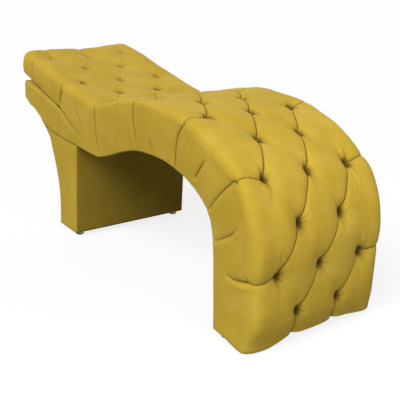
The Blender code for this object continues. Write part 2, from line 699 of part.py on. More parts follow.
pedestal_cover = add(prism("pedestal_cover", pedestal_outline(0.0, 0.0), -HALF_WIDTH, HALF_WIDTH), suede)
board_depth = PEDESTAL_COVER_THICKNESS + FIT_GAP
cover_back = flare_inset(PEDESTAL_COVER_THICKNESS)
hollow_front = PEDESTAL_FRONT - PEDESTAL_COVER_THICKNESS
hollow_top = HUMP_HEIGHT - CUT_OVERRUN
hollow = [(hollow_front, -CUT_OVERRUN), (hollow_front, hollow_top)]
hollow += [(cover_back[-1][0] - FIT_GAP, hollow_top), *cover_back[::-1], (cover_back[0][0], -CUT_OVERRUN)]
cut(pedestal_cover, cutter("pedestal_hollow", hollow, HALF_WIDTH - PEDESTAL_COVER_THICKNESS))

pedestal_half = HALF_WIDTH - board_depth
back_inside = board_depth + PEDESTAL_BOARD_THICKNESS / 2
back_outer = flare_inset(board_depth)
back_inner = flare_inset(back_inside)
back_edge = under_body(back_outer[-1][0], back_inner[-1][0])[1:]
back_outline = back_inner + back_edge + back_outer[::-1]
plate("pedestal_back_board", [back_outline], 2 * pedestal_half, 0.0, plywood)
front_high = PEDESTAL_FRONT - board_depth
front_low = front_high - PEDESTAL_BOARD_THICKNESS
slab_piece("pedestal_front_board", front_low, front_high, lambda x: GLIDE_HEIGHT,
           lambda x: underside_z(x) - 2 * FIT_GAP, pedestal_half, plywood)
side_outline = pedestal_outline(board_depth + PEDESTAL_BOARD_THICKNESS + FIT_GAP, back_inside + FIT_GAP)
for side, word in ((-1, "right"), (1, "left")):
    middle = side * (pedestal_half - PEDESTAL_BOARD_THICKNESS / 2)
    plate(f"pedestal_side_{word}", [side_outline], PEDESTAL_BOARD_THICKNESS, middle, plywood)
pedestal_inner = pedestal_half - PEDESTAL_BOARD_THICKNESS - FIT_GAP
back_low = pedestal_back + back_inside + FIT_GAP
floor_board("pedestal_floor_board", back_low, front_low - FIT_GAP, pedestal_inner)

# Glides under the floor boards
glide_top = GLIDE_HEIGHT - FIT_GAP
glide_profile = [
    (0.0, glide_top),
    (GLIDE_NECK_RADIUS, glide_top),
    (GLIDE_NECK_RADIUS, glide_top * GLIDE_NECK_SHARE),
    (GLIDE_RADIUS, glide_top * GLIDE_RIM_SHARE),
    (GLIDE_RADIUS, glide_top * GLIDE_SKIRT_SHARE),
    (GLIDE_RADIUS * GLIDE_SOLE_SHARE, 0.0),
    (0.0, 0.0),
]
glide_places = (
    ("pedestal_front", PEDESTAL_FRONT - GLIDE_INSET), ("pedestal_back", pedestal_back + GLIDE_INSET),
    ("leg_back", leg_back + GLIDE_INSET), ("leg_front", leg_front - GLIDE_INSET),
)
for place, x in glide_places:
    for side, word in ((-1, "right"), (1, "left")):
        spot = (x, side * (HALF_WIDTH - GLIDE_SIDE_INSET), 0.0)
        turned(f"glide_{place}_{word}", glide_profile, HOLE_STEPS, spot, (0.0, 0.0, 0.0), chrome)

# Head rest frame inside the cushion's recess
frame_end = recess_end - FIT_GAP
rail_low = HEAD_LINING_THICKNESS + 2 * FIT_GAP
rail_high = rail_low + HEAD_RAIL_HEIGHT
rail_outer = SWING_ARM_INNER - FIT_GAP
rail_inner = rail_outer - RAIL_THICKNESS


def head_piece(name, along_low, along_high, up_low, up_high, width, y_middle, material):
    """A straight piece of the head rest's frame, squared to its bottom."""
    outline = [head_point(along_low, up_low), head_point(along_high, up_low)]
    outline += [head_point(along_high, up_high), head_point(along_low, up_high)]
    return plate(name, [outline], width, y_middle, material)


head_piece("head_lining", HEAD_FRAME_DISTANCE, frame_end, FIT_GAP, HEAD_LINING_THICKNESS,
           2 * inner_half, 0.0, shaded_suede)
head_piece("head_board", HEAD_FRAME_DISTANCE, frame_end, rail_high + FIT_GAP,
           rail_high + FIT_GAP + HEAD_BOARD_THICKNESS, 2 * inner_half, 0.0, plywood)
for side, word in ((-1, "right"), (1, "left")):
    head_piece(f"head_side_rail_{word}", HEAD_FRAME_DISTANCE, frame_end, rail_low, rail_high,
               RAIL_THICKNESS, side * (rail_outer + rail_inner) / 2, pine)
cross_width = 2 * (rail_inner - FIT_GAP)
head_piece("head_front_rail", HEAD_FRAME_DISTANCE, HEAD_FRAME_DISTANCE + RAIL_THICKNESS, rail_low, rail_high,
           cross_width, 0.0, pine)
head_piece("head_end_rail", frame_end - RAIL_THICKNESS, frame_end, rail_low, rail_high,
           cross_width, 0.0, pine)

# Ratchet hinges: a fixed arm, a swinging arm with a toothed sector, a pawl and its spring
pitch = HEAD_REST_SWING / RATCHET_STEPS
pawl_pivot = polar(PAWL_PIVOT_RADIUS, PAWL_PIVOT_ANGLE)
stop_centre = head_point(STOP_PIN_DISTANCE, ARM_LOW_OFFSET - FIT_GAP - PIN_RADIUS)


def hole(radius, centre):
    """A round hole's outline."""
    return arc(radius + FIT_GAP, 0.0, 2 * math.pi * (1 - 1 / HOLE_STEPS), HOLE_STEPS - 1, centre)


def toothed_edge():
    """The sector's edge: a gap for each step, between teeth."""
    edge = [polar(TOOTH_TIP_RADIUS, ENGAGE_ANGLE - pitch)]
    for step in range(RATCHET_STEPS + 1):
        centre = ENGAGE_ANGLE + step * pitch
        edge.append(polar(TOOTH_TIP_RADIUS, centre - GAP_MOUTH_SHARE * pitch))
        edge.append(polar(TOOTH_ROOT_RADIUS, centre - GAP_FLOOR_SHARE * pitch))
        edge.append(polar(TOOTH_ROOT_RADIUS, centre + GAP_FLOOR_SHARE * pitch))
        edge.append(polar(TOOTH_TIP_RADIUS, centre + GAP_MOUTH_SHARE * pitch))
    return [*edge, polar(TOOTH_TIP_RADIUS, ENGAGE_ANGLE + HEAD_REST_SWING + pitch)]


swing_outline = toothed_edge()
hub_start = ENGAGE_ANGLE + HEAD_REST_SWING + 2 * pitch
swing_outline += arc(SECTOR_HUB_RADIUS, hub_start, face_angle + HUB_CLEARANCE, 8)
swing_outline += [head_point(SECTOR_HUB_RADIUS * ARM_SHOULDER_SHARE, ARM_HIGH_OFFSET)]
swing_outline += [head_point(ARM_LENGTH, ARM_HIGH_OFFSET)]
swing_outline += [head_point(ARM_LENGTH + ARM_LOW_OFFSET, (ARM_LOW_OFFSET + ARM_HIGH_OFFSET) / 2)]
swing_outline += [head_point(ARM_LENGTH, ARM_LOW_OFFSET)]
swing_outline += [head_point(SECTOR_HUB_RADIUS * ARM_NECK_SHARE, ARM_LOW_OFFSET)]
swing_outline += arc(SECTOR_HUB_RADIUS, HUB_BACK_ANGLE, 2 * math.pi + ENGAGE_ANGLE - 2 * pitch, 4)

heel_x = HINGE_X - STOP_PIN_DISTANCE * BASE_ARM_HEEL_SHARE
toe_x = HINGE_X + BASE_ARM_REACH
base_outline = arc(BASE_ARM_EAR_RADIUS, EAR_FRONT_ANGLE, EAR_TOP_ANGLE, 8)
base_outline += arc(BASE_ARM_EAR_RADIUS / 2, EAR_TOP_ANGLE, EAR_BACK_ANGLE, 8, stop_centre)
base_outline += [(heel_x, HINGE_Z - BASE_ARM_DEPTH / 2), (heel_x, HINGE_Z - BASE_ARM_DEPTH)]
base_outline += [(toe_x, HINGE_Z - BASE_ARM_DEPTH)]
base_outline += [(toe_x, HINGE_Z - BASE_ARM_DEPTH * BASE_ARM_SHOULDER_SHARE)]

# The pawl is drawn in mesh with the sector, then turned away from it to where it rests
nose_tip = TOOTH_ROOT_RADIUS + 2 * FIT_GAP
nose_base = TOOTH_TIP_RADIUS + 2 * FIT_GAP
pawl_engaged = [polar(nose_base, ENGAGE_ANGLE + NOSE_BASE_SHARE * pitch)]
pawl_engaged += [polar(nose_tip, ENGAGE_ANGLE + NOSE_TIP_SHARE * pitch)]
pawl_engaged += [polar(nose_tip, ENGAGE_ANGLE - NOSE_TIP_SHARE * pitch)]
pawl_engaged += [polar(nose_base, ENGAGE_ANGLE - NOSE_BASE_SHARE * pitch)]
pawl_engaged += [polar(nose_base + PAWL_RING_RADIUS, ENGAGE_ANGLE - PAWL_SIDE_SHARE * pitch)]
pawl_engaged += arc(PAWL_RING_RADIUS, PAWL_RING_START, PAWL_RING_END, 10, pawl_pivot)
pawl_engaged += [polar(nose_base + 2 * FIT_GAP, ENGAGE_ANGLE + PAWL_SIDE_SHARE * pitch)]


def lifted(point, angle=PAWL_LIFT):
    """A point of the pawl turned away from the sector about the pawl's pivot."""
    dx = point[0] - pawl_pivot[0]
    dz = point[1] - pawl_pivot[1]
    return (pawl_pivot[0] + dx * math.cos(angle) - dz * math.sin(angle),
            pawl_pivot[1] + dx * math.sin(angle) + dz * math.cos(angle))


pawl_outline = [lifted(point) for point in pawl_engaged]
pawl_heel = pawl_outline[4]
spring_touch = (pawl_heel[0] + PAWL_RING_RADIUS, pawl_heel[1] - SPRING_THICKNESS - PIN_HEAD_THICKNESS / 2)
spring_root = (HINGE_X + BASE_ARM_REACH - PAWL_RING_RADIUS, HINGE_Z - BASE_ARM_DEPTH + PAWL_RING_RADIUS)
spring_bend = ((spring_touch[0] + spring_root[0]) / 2, spring_root[1] + PAWL_RING_RADIUS / 2)
spring_line = smooth_line([spring_root, spring_root, spring_bend, spring_touch, spring_touch], 5)
spring_points, spring_normals = walk(spring_line[:-1], np.linspace(0.0, line_length(spring_line[:-1]), 12))
spring_outline = [tuple(p) for p in spring_points]
spring_outline += [tuple(p) for p in (spring_points - spring_normals * SPRING_THICKNESS)[::-1]]


def pin(name, centre, side, radius):
    """A headed pin along y: its head is inside, and its shank passes the two arms."""
    inner = SWING_ARM_INNER - FIT_GAP - PIN_HEAD_THICKNESS
    length = ARM_OUTER - inner
    flange = radius + PIN_HEAD_FLANGE_WIDTH
    shank = [(0.0, length), (radius, length), (radius, PIN_HEAD_THICKNESS)]
    head = [(flange, PIN_HEAD_THICKNESS), (flange, 0.0), (0.0, 0.0)]
    place = (centre[0], side * inner, centre[1])
    return turned(name, shank + head, HOLE_STEPS, place, (-side * math.pi / 2, 0.0, 0.0), steel)


hinge_centre = (HINGE_X, HINGE_Z)
base_holes = [hole(PIVOT_RADIUS, hinge_centre), hole(PIN_RADIUS, pawl_pivot), hole(PIN_RADIUS, stop_centre)]
swing_middle = (SWING_ARM_INNER + SWING_ARM_OUTER) / 2
for side, word in ((-1, "right"), (1, "left")):
    base_middle = side * (ARM_INNER + ARM_OUTER) / 2
    plate(f"hinge_base_arm_{word}", [base_outline, *base_holes], ARM_THICKNESS, base_middle, steel)
    plate(f"hinge_swing_arm_{word}", [swing_outline, hole(PIVOT_RADIUS, hinge_centre)], ARM_THICKNESS,
          side * swing_middle, steel)
    plate(f"hinge_pawl_{word}", [pawl_outline, hole(PIN_RADIUS, pawl_pivot)], ARM_THICKNESS,
          side * swing_middle, steel)
    plate(f"pawl_spring_{word}", [spring_outline], ARM_THICKNESS, side * swing_middle, steel)
    pin(f"hinge_pivot_{word}", hinge_centre, side, PIVOT_RADIUS)
    pin(f"pawl_pin_{word}", pawl_pivot, side, PIN_RADIUS)
    pin(f"stop_pin_{word}", stop_centre, side, PIN_RADIUS)
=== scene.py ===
"""Looks of the reclining beauty bed: tufted suede covers, buttons, glides and the frame inside.

The covers are surfaces of two parameters, a station along the bed's side view line and a place
across it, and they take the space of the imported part's soft solids. +X is the foot end, +Z is up.
"""
import math
from functools import partial

import bpy
import numpy as np
from mathutils import Matrix, Vector


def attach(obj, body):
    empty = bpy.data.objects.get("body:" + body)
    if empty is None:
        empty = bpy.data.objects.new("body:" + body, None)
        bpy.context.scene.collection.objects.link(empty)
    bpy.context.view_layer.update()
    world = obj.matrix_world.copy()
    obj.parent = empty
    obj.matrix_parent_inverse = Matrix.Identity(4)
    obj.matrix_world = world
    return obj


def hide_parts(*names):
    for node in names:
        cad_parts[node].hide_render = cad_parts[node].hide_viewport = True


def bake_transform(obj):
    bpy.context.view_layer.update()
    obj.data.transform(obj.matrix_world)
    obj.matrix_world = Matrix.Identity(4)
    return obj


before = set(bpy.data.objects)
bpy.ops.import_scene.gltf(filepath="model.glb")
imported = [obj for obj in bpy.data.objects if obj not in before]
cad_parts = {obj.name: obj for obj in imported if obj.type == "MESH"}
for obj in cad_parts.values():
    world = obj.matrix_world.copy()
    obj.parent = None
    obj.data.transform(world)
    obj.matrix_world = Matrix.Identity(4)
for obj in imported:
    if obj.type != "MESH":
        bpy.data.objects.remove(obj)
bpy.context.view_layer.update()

# Tufted cover: one sheet of suede over the head rest, the fold at the hinge, the seat, the hump and
# the leg, with its sides. It is drawn down by covered buttons, so it folds into sharp tucks along
# one diagonal and soft valleys along the other, and the tucks run on down the sides as pleats.
BED_LENGTH = 1.745
BODY_LENGTH = 1.335
SLAB_LENGTH = 0.410
HUMP_HEIGHT = 0.737
GLIDE_HEIGHT = 0.020
HINGE = np.array([-0.4625, 0.794 * HUMP_HEIGHT])
HEAD_SLOPE = math.radians(10.7)
SLOPE = np.array([math.cos(HEAD_SLOPE), -math.sin(HEAD_SLOPE)])
SLOPE_NORMAL = np.array([math.sin(HEAD_SLOPE), math.cos(HEAD_SLOPE)])
HINGE_DEPTH = 0.102
TOP_START = HINGE + HINGE_DEPTH * SLOPE_NORMAL
TOP_STEER = 0.1025
# Lines of the side view, in shares of the body's or the slab's length and of the hump's height
TOP_LINE_SHARES = np.array([
    (0.099, 0.902), (0.182, 0.886), (0.235, 0.882), (0.294, 0.912), (0.353, 0.950),
    (0.409, 0.978), (0.468, 0.996), (0.527, 1.000), (0.588, 0.988), (0.650, 0.974),
    (0.693, 0.961), (0.732, 0.938), (0.817, 0.875), (0.869, 0.829), (0.910, 0.784),
    (0.937, 0.733), (0.958, 0.657), (0.970, 0.574), (0.9765, 0.465), (0.9765, 0.300),
])
UNDERSIDE_SHARES = np.array([
    (0.111, 0.598), (0.213, 0.591), (0.2615, 0.594), (0.315, 0.623), (0.408, 0.687),
    (0.477, 0.722), (0.5425, 0.734), (0.6025, 0.734), (0.650, 0.722), (0.719, 0.691),
    (0.778, 0.638), (0.813, 0.578), (0.8275, 0.525), (0.838, 0.440), (0.8485, 0.270),
])
SLAB_SHARES = np.array([
    (-0.851, 0.738), (-0.694, 0.714), (-0.515, 0.668), (-0.353, 0.632), (-0.021, 0.608)])
LEG_BACK, LEG_FRONT = HINGE[0] + np.array([0.859, 0.9765]) * BODY_LENGTH
SLAB_INSET = 0.008
SLAB_END = SLAB_INSET - BED_LENGTH / 2
SLAB_END_LOW = 0.783 * HUMP_HEIGHT
SLAB_STEER = 0.012
COLUMN_SPACING = 0.100
ROW_SPACING = 0.157
TUCK_STEPS = 32
GAIN_ROWS, GAINS = (-2.0, 1.0, 3.0, 5.0), (0.10, 0.16, 0.60, 1.0)
OUTER_EDGE, OUTER_DRIFT, OUTER_FADE = (0.193, 0.207), (0.195, 0.285), (0.22, 0.30)
OUTER_LOSS, END_BESIDE = 0.30, 0.45
END_FADE, END_MARGIN, END_OVERLAP = (0.21, 0.27), 0.010, 0.004
DIAGONAL, DIAGONAL_SWELL, DIAGONAL_LINE, SECOND_LINE = 0.0038, 0.0042, 0.0048, 0.0040
BROAD_REACH, NARROW_REACH = 0.022, 0.0050
ROW_CREASE, HEAD_CREASE, FOOT_CREASE = (0.0062, 0.0056), (0.0085, 0.0020), (0.0130, 0.0060)
VALLEY, VALLEY_SWELL, VALLEY_WIDTH, LEAST_VALLEY = 0.0026, 0.0050, 0.028, 0.25
LEAST_PULL, PULL_EASE = 0.62, (0.0, 0.45)
DIMPLE, DIMPLE_WIDTH = 0.0085, 0.024
HOLE, HOLE_WIDTH, HOLE_STRETCH, HOLE_SQUEEZE = 0.0195, 0.0110, 1.45, 0.95
PUCKER, PUCKER_COUNT, PUCKER_TURN, PUCKER_RING, PUCKER_WIDTH = 0.0008, 9, 2.4, 0.029, 0.011
NEAR_DRIFTS = np.array([-0.012, -0.022, -0.006, -0.012, -0.002, -0.016, 0.009])
FAR_DRIFTS = np.array([-0.012, -0.022, -0.006, -0.012, -0.002, -0.013, -0.008])
FAR_OFF = 9.0
FOLD_LIMIT = 0.012
FOLD_REACH = 0.010


def smooth_line(points, parts):
    """A Catmull-Rom curve through points, whose first and last only steer its ends."""
    t = np.linspace(0.0, 1.0, parts, endpoint=False)[None, :, None]
    a, b, c, d = (points[i:len(points) - 3 + i][:, None, :] for i in range(4))
    curve = 0.5 * (2 * b + (c - a) * t + (2 * a - 5 * b + 4 * c - d) * t ** 2
                   + (3 * b - a - 3 * c + d) * t ** 3)
    return np.vstack([curve.reshape(-1, 2), points[-2:-1]])


def through(points, parts):
    """A smooth line through all points, steered past each end by that end's mirrored neighbour."""
    points = np.asarray(points)
    before, after = 2 * points[:1] - points[1:2], 2 * points[-1:] - points[-2:-1]
    return smooth_line(np.vstack([before, points, after]), parts)


def line_lengths(line):
    """The length along a line of points, at each of them."""
    return np.concatenate([[0.0], np.cumsum(np.hypot(*np.diff(line, axis=0).T))])


def walk(line, distance):
    """Points and left-hand normals at distances along a line, each read between its points."""
    along = line_lengths(line)
    tangents = np.gradient(line, along, axis=0)
    point = np.stack([np.interp(distance, along, line[:, k]) for k in (0, 1)], -1)
    tx, tz = (np.interp(distance, along, tangents[:, k]) for k in (0, 1))
    size = np.hypot(tx, tz)
    return point, np.stack([-tz / size, tx / size], -1)


def ease(value, low, high):
    """A smooth step from 0 at one value to 1 at another."""
    t = np.clip((value - low) / (high - low), 0.0, 1.0)
    return t * t * (3.0 - 2.0 * t)


def bell(distance, width, power=2):
    """A bell curve: e to the minus power of the distance over the width."""
    return np.exp(-(distance / width) ** power)


def fade(distance, reach):
    """A cusp: 1 at zero, and an exponential of the distance over the reach to either side."""
    return np.exp(-np.abs(distance) / reach)


def quarter(parts):
    """Angles that cut a quarter turn into equal parts, with both its ends."""
    return np.linspace(0.0, math.pi / 2, parts + 1)


def near(value, period):
    """The signed distance from a value to the nearest multiple of a period."""
    return value - period * np.round(value / period)


def from_shares(shares, length=BODY_LENGTH):
    """Side view points from shares of a length past the hinge and of the hump's height."""
    return np.array([HINGE[0], 0.0]) + shares * np.array([length, HUMP_HEIGHT])


top_line = smooth_line(np.vstack([
    TOP_START - TOP_STEER * SLOPE, TOP_START, from_shares(TOP_LINE_SHARES),
    [(LEG_FRONT, GLIDE_HEIGHT), (LEG_FRONT, -GLIDE_HEIGHT)]]), 24)
TOP_LENGTH = float(line_lengths(top_line)[-1])
underside = smooth_line(np.vstack([
    [(SLAB_END - SLAB_STEER, SLAB_END_LOW + SLAB_STEER), (SLAB_END, SLAB_END_LOW)],
    from_shares(SLAB_SHARES, SLAB_LENGTH), from_shares(UNDERSIDE_SHARES),
    [(LEG_BACK, GLIDE_HEIGHT), (LEG_BACK, -GLIDE_HEIGHT)]]), 16)
under_along = line_lengths(underside)
under_ahead = underside[underside[:, 0] < 0.0]
# Rows of buttons, numbered from the hinge on, and their stations: the last five are measured back
# from the foot. An even row has three buttons and an odd one has two.
FIRST_ROW = 0.006
row_numbers = np.arange(-2.0, 12.0)
row_stations = np.concatenate([
    [-FIRST_ROW - 2 * ROW_SPACING, -FIRST_ROW - ROW_SPACING, FIRST_ROW, 0.169],
    np.linspace(0.295, 0.926, 5), TOP_LENGTH - np.array([0.736, 0.568, 0.404, 0.247, 0.099])])
HEAD_END = -(TOP_START[0] + BED_LENGTH / 2) / SLOPE[0]
button_spots = np.array([(s, k * COLUMN_SPACING) for n, s in zip(row_numbers, row_stations)
                         for k in ((-1, 1) if n % 2 else (-2, 0, 2))])


def under_z(x):
    """The height of the underside at an x between the head end and the arch."""
    return np.interp(x, under_ahead[:, 0], under_ahead[:, 1])


def top_frame(station):
    """Points of the shoulder line and its outward normals: straight up the head rest before 0."""
    point, normal = walk(top_line, np.maximum(station, 0.0))
    head = station[:, None] < 0.0
    return (np.where(head, TOP_START + station[:, None] * SLOPE, point),
            np.where(head, SLOPE_NORMAL, normal))


def crease(distance, broad, narrow):
    """The depth of a folded crease: a broad and a narrow cusp of the distance."""
    return broad * fade(distance, BROAD_REACH) + narrow * fade(distance, NARROW_REACH)


def stronger(held, distance, strength):
    """Fold distances and strengths so far, or another fold's where its strength is greater."""
    fold, weight = held
    here = strength * fade(distance, FOLD_REACH)
    best = here > weight
    return np.where(best, distance, fold), np.where(best, here, weight)


def tuck_field(s, y):
    """How deep the buttons draw the cover at a station and place across, and its tucks.

    Diagonals join the buttons. Along one the cover folds into a cusp, and along the other into a
    soft bell. Past the outer buttons straight tucks run to the edges. Each button adds a pit, which
    is a wide bell, a steep oval one and a ring of puckers. The second and third results are the
    distance to the nearest sharp fold, and how strong it is.
    """
    sigma = np.interp(s, row_stations, row_numbers)
    psi = np.clip(y / COLUMN_SPACING, -2.0, 2.0)
    gain = np.interp(sigma, GAIN_ROWS, GAINS)
    beside = np.abs(y)
    outer = ease(beside, *OUTER_EDGE)
    head_row, foot_row = row_stations[0], row_stations[-1]
    head_zone = 1.0 - ease(s, head_row - END_MARGIN, head_row + END_OVERLAP)
    foot_zone = ease(s, foot_row - END_OVERLAP, foot_row + END_MARGIN)
    inner = (1.0 - outer) * (1.0 - head_zone) * (1.0 - foot_zone)
    unit = 1.0 / math.hypot(1.0 / ROW_SPACING, 1.0 / COLUMN_SPACING)
    fold_a, fold_b = near(sigma + psi, 2.0) * unit, near(sigma - psi, 2.0) * unit
    close_a = np.abs(np.cos(np.pi * (sigma - psi) / 2))
    close_b = np.abs(np.cos(np.pi * (sigma + psi) / 2))
    drift = ease(beside, *OUTER_DRIFT)
    row_fold = np.full(s.shape, FAR_OFF)
    for station, near_drift, far_drift in zip(row_stations[::2], NEAR_DRIFTS, FAR_DRIFTS):
        gap = s - station - np.where(y < 0.0, near_drift, far_drift) * drift
        row_fold = np.where(np.abs(gap) < np.abs(row_fold), gap, row_fold)
    edge_fade = 1.0 - OUTER_LOSS * ease(beside, *OUTER_FADE)
    end_fade = np.where(beside < COLUMN_SPACING, 1.0, END_BESIDE) * (1.0 - ease(beside, *END_FADE))
    # Each tuck's distance, share, broad depth, narrow depth and strength
    tucks = [
        (fold_a, inner * gain, DIAGONAL + DIAGONAL_SWELL * close_a ** 2, DIAGONAL_LINE,
         0.80 + 0.20 * close_a ** 3),
        (fold_b, inner * gain, 0.0, SECOND_LINE * close_b ** 10, 0.10 + 0.90 * close_b ** 10),
        (row_fold, outer * gain * edge_fade, *ROW_CREASE, 0.95),
        (near(y, 2 * COLUMN_SPACING), head_zone * end_fade, *HEAD_CREASE, 0.4),
        (near(y - COLUMN_SPACING, 2 * COLUMN_SPACING), foot_zone * (1.0 - outer),
         *FOOT_CREASE, 0.9),
    ]
    valley = (VALLEY + VALLEY_SWELL * close_b ** 2) * bell(fold_b, VALLEY_WIDTH)
    depth = inner * (LEAST_VALLEY + (1.0 - LEAST_VALLEY) * gain) * valley
    held = np.full(s.shape, FOLD_LIMIT), np.zeros(s.shape)
    for distance, mask, broad, narrow, strength in tucks:
        depth = depth + mask * crease(distance, broad, narrow)
        held = stronger(held, distance, mask * strength)
    for k, (station, place) in enumerate(button_spots):
        down, out = s - station, y - place
        radius = np.hypot(down, out)
        oval = np.hypot(down / HOLE_STRETCH, out / HOLE_SQUEEZE)
        pit = DIMPLE * bell(radius, DIMPLE_WIDTH, 1.5) + HOLE * bell(oval, HOLE_WIDTH, 4)
        waves = np.cos(PUCKER_COUNT * np.arctan2(down, out) + PUCKER_TURN * k)
        waves = waves * bell(radius - PUCKER_RING, PUCKER_WIDTH)
        pull = LEAST_PULL + (1.0 - LEAST_PULL) * ease(station, *PULL_EASE)
        depth = depth + pull * pit + PUCKER * waves
    return depth, *held


# Pleats of a side in the side view, each with how strong it is at its start, middle and end. Those
# that run down from a row of buttons begin on the shoulder at that row's station.
TUCK_ABOVE, TUCK_BELOW = 0.008, 0.012


def from_row(row):
    """Side view points over and on the shoulder, where the tuck of a row of buttons comes down."""
    point, normal = top_frame(row_stations[row + 2:row + 3] + NEAR_DRIFTS[row // 2 + 1])
    return [tuple(point[0] + TUCK_ABOVE * normal[0]), tuple(point[0] - TUCK_BELOW * normal[0])]


side_pleats = [
    ([*from_row(-2), (-0.7692, 0.725), (-0.7695, 0.689)], (0.9, 0.9, 0.3)),
    ([*from_row(0), (-0.4600, 0.665), (-0.4675, 0.630), (-0.4695, 0.582)], (0.9, 1.0, 1.0)),
    ([(-0.3395, 0.654), (-0.2950, 0.581), (-0.2495, 0.508)], (0.1, 0.5, 0.1)),
    ([(-0.4595, 0.576), (-0.4105, 0.552), (-0.3615, 0.525), (-0.2585, 0.494)], (0.9, 0.7, 0.1)),
    ([(-0.4665, 0.570), (-0.4780, 0.500), (-0.4880, 0.450)], (0.5, 0.3, 0.2)),
    ([*from_row(2), (-0.1535, 0.610), (-0.1345, 0.528), (-0.1125, 0.455)], (0.9, 1.0, 0.6)),
    ([*from_row(4), (0.1435, 0.690), (0.1485, 0.645), (0.1785, 0.565)], (0.8, 1.0, 0.4)),
    ([(0.2705, 0.604), (0.2735, 0.577), (0.2755, 0.550)], (0.1, 0.6, 0.2)),
    ([*from_row(6), (0.4600, 0.692), (0.4335, 0.640), (0.4245, 0.536)], (0.8, 1.0, 0.7)),
    ([(0.5935, 0.605), (0.5705, 0.569), (0.5475, 0.533)], (0.2, 1.0, 0.9)),
    ([*from_row(8), (0.7720, 0.592), (0.7355, 0.571), (0.6735, 0.505), (0.6285, 0.448)],
     (0.9, 1.0, 0.7)),
    ([(0.7705, 0.423), (0.7335, 0.385), (0.6735, 0.347)], (0.3, 0.9, 0.5)),
    ([*from_row(10), (0.8295, 0.258), (0.7755, 0.246), (0.7475, 0.250)], (0.9, 1.0, 0.5)),
]
PLEAT_DEPTH, PLEAT_REACH, PLEAT_BLUNT, PLEAT_MIDDLE = 0.0082, 0.008, 0.0020, 0.45
SWELL, SWELL_PLACE, SWELL_WIDTH = 0.0020, 0.019, 0.010


def pleat_field(x, z):
    """How deep the pleats draw a side in at side view points, and its folds, as tuck_field does.

    The distance to a pleat is that to the nearest of its straight runs, with the sign of the side
    of it that a point lies on. Its depth is a blunted cusp, with a slight swell along one side.
    """
    depth = np.zeros(x.shape)
    held = np.full(x.shape, FOLD_LIMIT), np.zeros(x.shape)
    for points, strengths in side_pleats:
        line = through(points, 5)
        along = line_lengths(line)
        distance, place = np.full(x.shape, FAR_OFF), np.zeros(x.shape)
        for p, q, start in zip(line, line[1:], along):
            run = q - p
            size = float(np.hypot(*run))
            t = np.clip(((x - p[0]) * run[0] + (z - p[1]) * run[1]) / size ** 2, 0.0, 1.0)
            dx, dz = x - p[0] - t * run[0], z - p[1] - t * run[1]
            gap = np.hypot(dx, dz) * np.where(run[0] * dz - run[1] * dx < 0.0, -1.0, 1.0)
            closer = np.abs(gap) < np.abs(distance)
            distance = np.where(closer, gap, distance)
            place = np.where(closer, start + t * size, place)
        strength = np.interp(place, [0.0, along[-1] * PLEAT_MIDDLE, along[-1]], strengths)
        blunt = np.hypot(distance, PLEAT_BLUNT) - PLEAT_BLUNT
        depth = depth + strength * (PLEAT_DEPTH * fade(blunt, PLEAT_REACH)
                                    - SWELL * bell(distance - SWELL_PLACE, SWELL_WIDTH))
        held = stronger(held, distance, strength)
    return depth, *held


def ripple(x, y, z, size=0.0010):
    """Slight unevenness of stretched cloth: a sum of long waves that never repeat together."""
    return size * (np.sin(23 * x + 11 * y + 7 * z) + np.sin(31 * y - 17 * x + 13 * z + 1.3)
                   + 0.7 * np.sin(41 * z + 19 * x - 29 * y + 2.1)) / 2


SHOULDER = 0.0128
ACROSS_FLAT = 94
SIDE_Y = ACROSS_FLAT * COLUMN_SPACING / TUCK_STEPS + SHOULDER
SHOULDER_BLEND = (0.25, 0.95)
SIDE_BELLY = 0.0035
SETTLE_ROWS = 8.0
HEM_ROUND, LEAST_ROUND = 0.006, 1e-6
FOOT_TAPER, FOOT_THIN, FAR_FOOT_THIN = 0.090, 0.42, 0.18
EDGE_POWER, FOOT_POWER = 24.0, 10.0
FAR_EDGE, DISH_EDGE, NEAR_EDGE, NEAR_HALF = (0.16, 0.85), (0.68, 0.92), (0.50, 0.90), (0.0, 0.5)
FULL_ROWS = (-3.0, -1.8, 0.0, 1.5, 3.0, 4.4, 6.0, 7.4, 8.4, 9.5, 11.6)
FULLNESS = (0.0340, 0.0300, 0.0240, 0.0220, 0.0060, 0.0070, 0.0260, 0.0290, 0.0180, 0.0400, 0.0430)
CROWNS = (0.0080, 0.0080, 0.0050, 0.0040, 0.0020, 0.0020, 0.0020, 0.0020, 0.0020, 0.0020, 0.0)
FAR_STATIONS, FAR_RISES = np.array([
    (-0.40, 0.0200), (-0.25, 0.0220), (-0.10, 0.0130), (0.10, 0.0080), (0.22, -0.0010),
    (0.30, -0.0080), (0.52, -0.0060), (0.66, 0.0), (1.00, 0.0), (1.08, 0.0030), (1.15, -0.0030),
    (1.24, -0.0090), (1.31, 0.0020), (1.40, 0.0040), (1.53, 0.0040), (1.60, 0.0020),
    (1.66, 0.0040)]).T
DISH_STATIONS, MIDDLE_DISHES, NEAR_DISHES = np.array([
    (-0.40, 0.0, 0.0), (-0.34, 0.0085, 0.0030), (-0.16, 0.0085, 0.0030), (0.0, 0.0110, 0.0060),
    (0.17, 0.0090, 0.0060), (0.30, 0.0040, 0.0060), (0.50, 0.0090, 0.0110),
    (1.08, 0.0090, 0.0110), (1.24, 0.0090, 0.0120), (1.58, 0.0090, 0.0120), (1.70, 0.0, 0.0)]).T
across_flat = np.arange(-ACROSS_FLAT, ACROSS_FLAT + 1) * COLUMN_SPACING / TUCK_STEPS
shoulder_turn = quarter(8)[1:]
shoulder_y = across_flat[-1] + SHOULDER * np.sin(shoulder_turn)
columns_y = np.concatenate([-shoulder_y[::-1], across_flat, shoulder_y])
columns_turn = np.concatenate([-shoulder_turn[::-1], np.zeros(len(across_flat)), shoulder_turn])


def mirrored(grid):
    """The same strip on the other side of the bed."""
    return grid * np.where(np.arange(grid.shape[-1]) == 1, -1.0, 1.0)


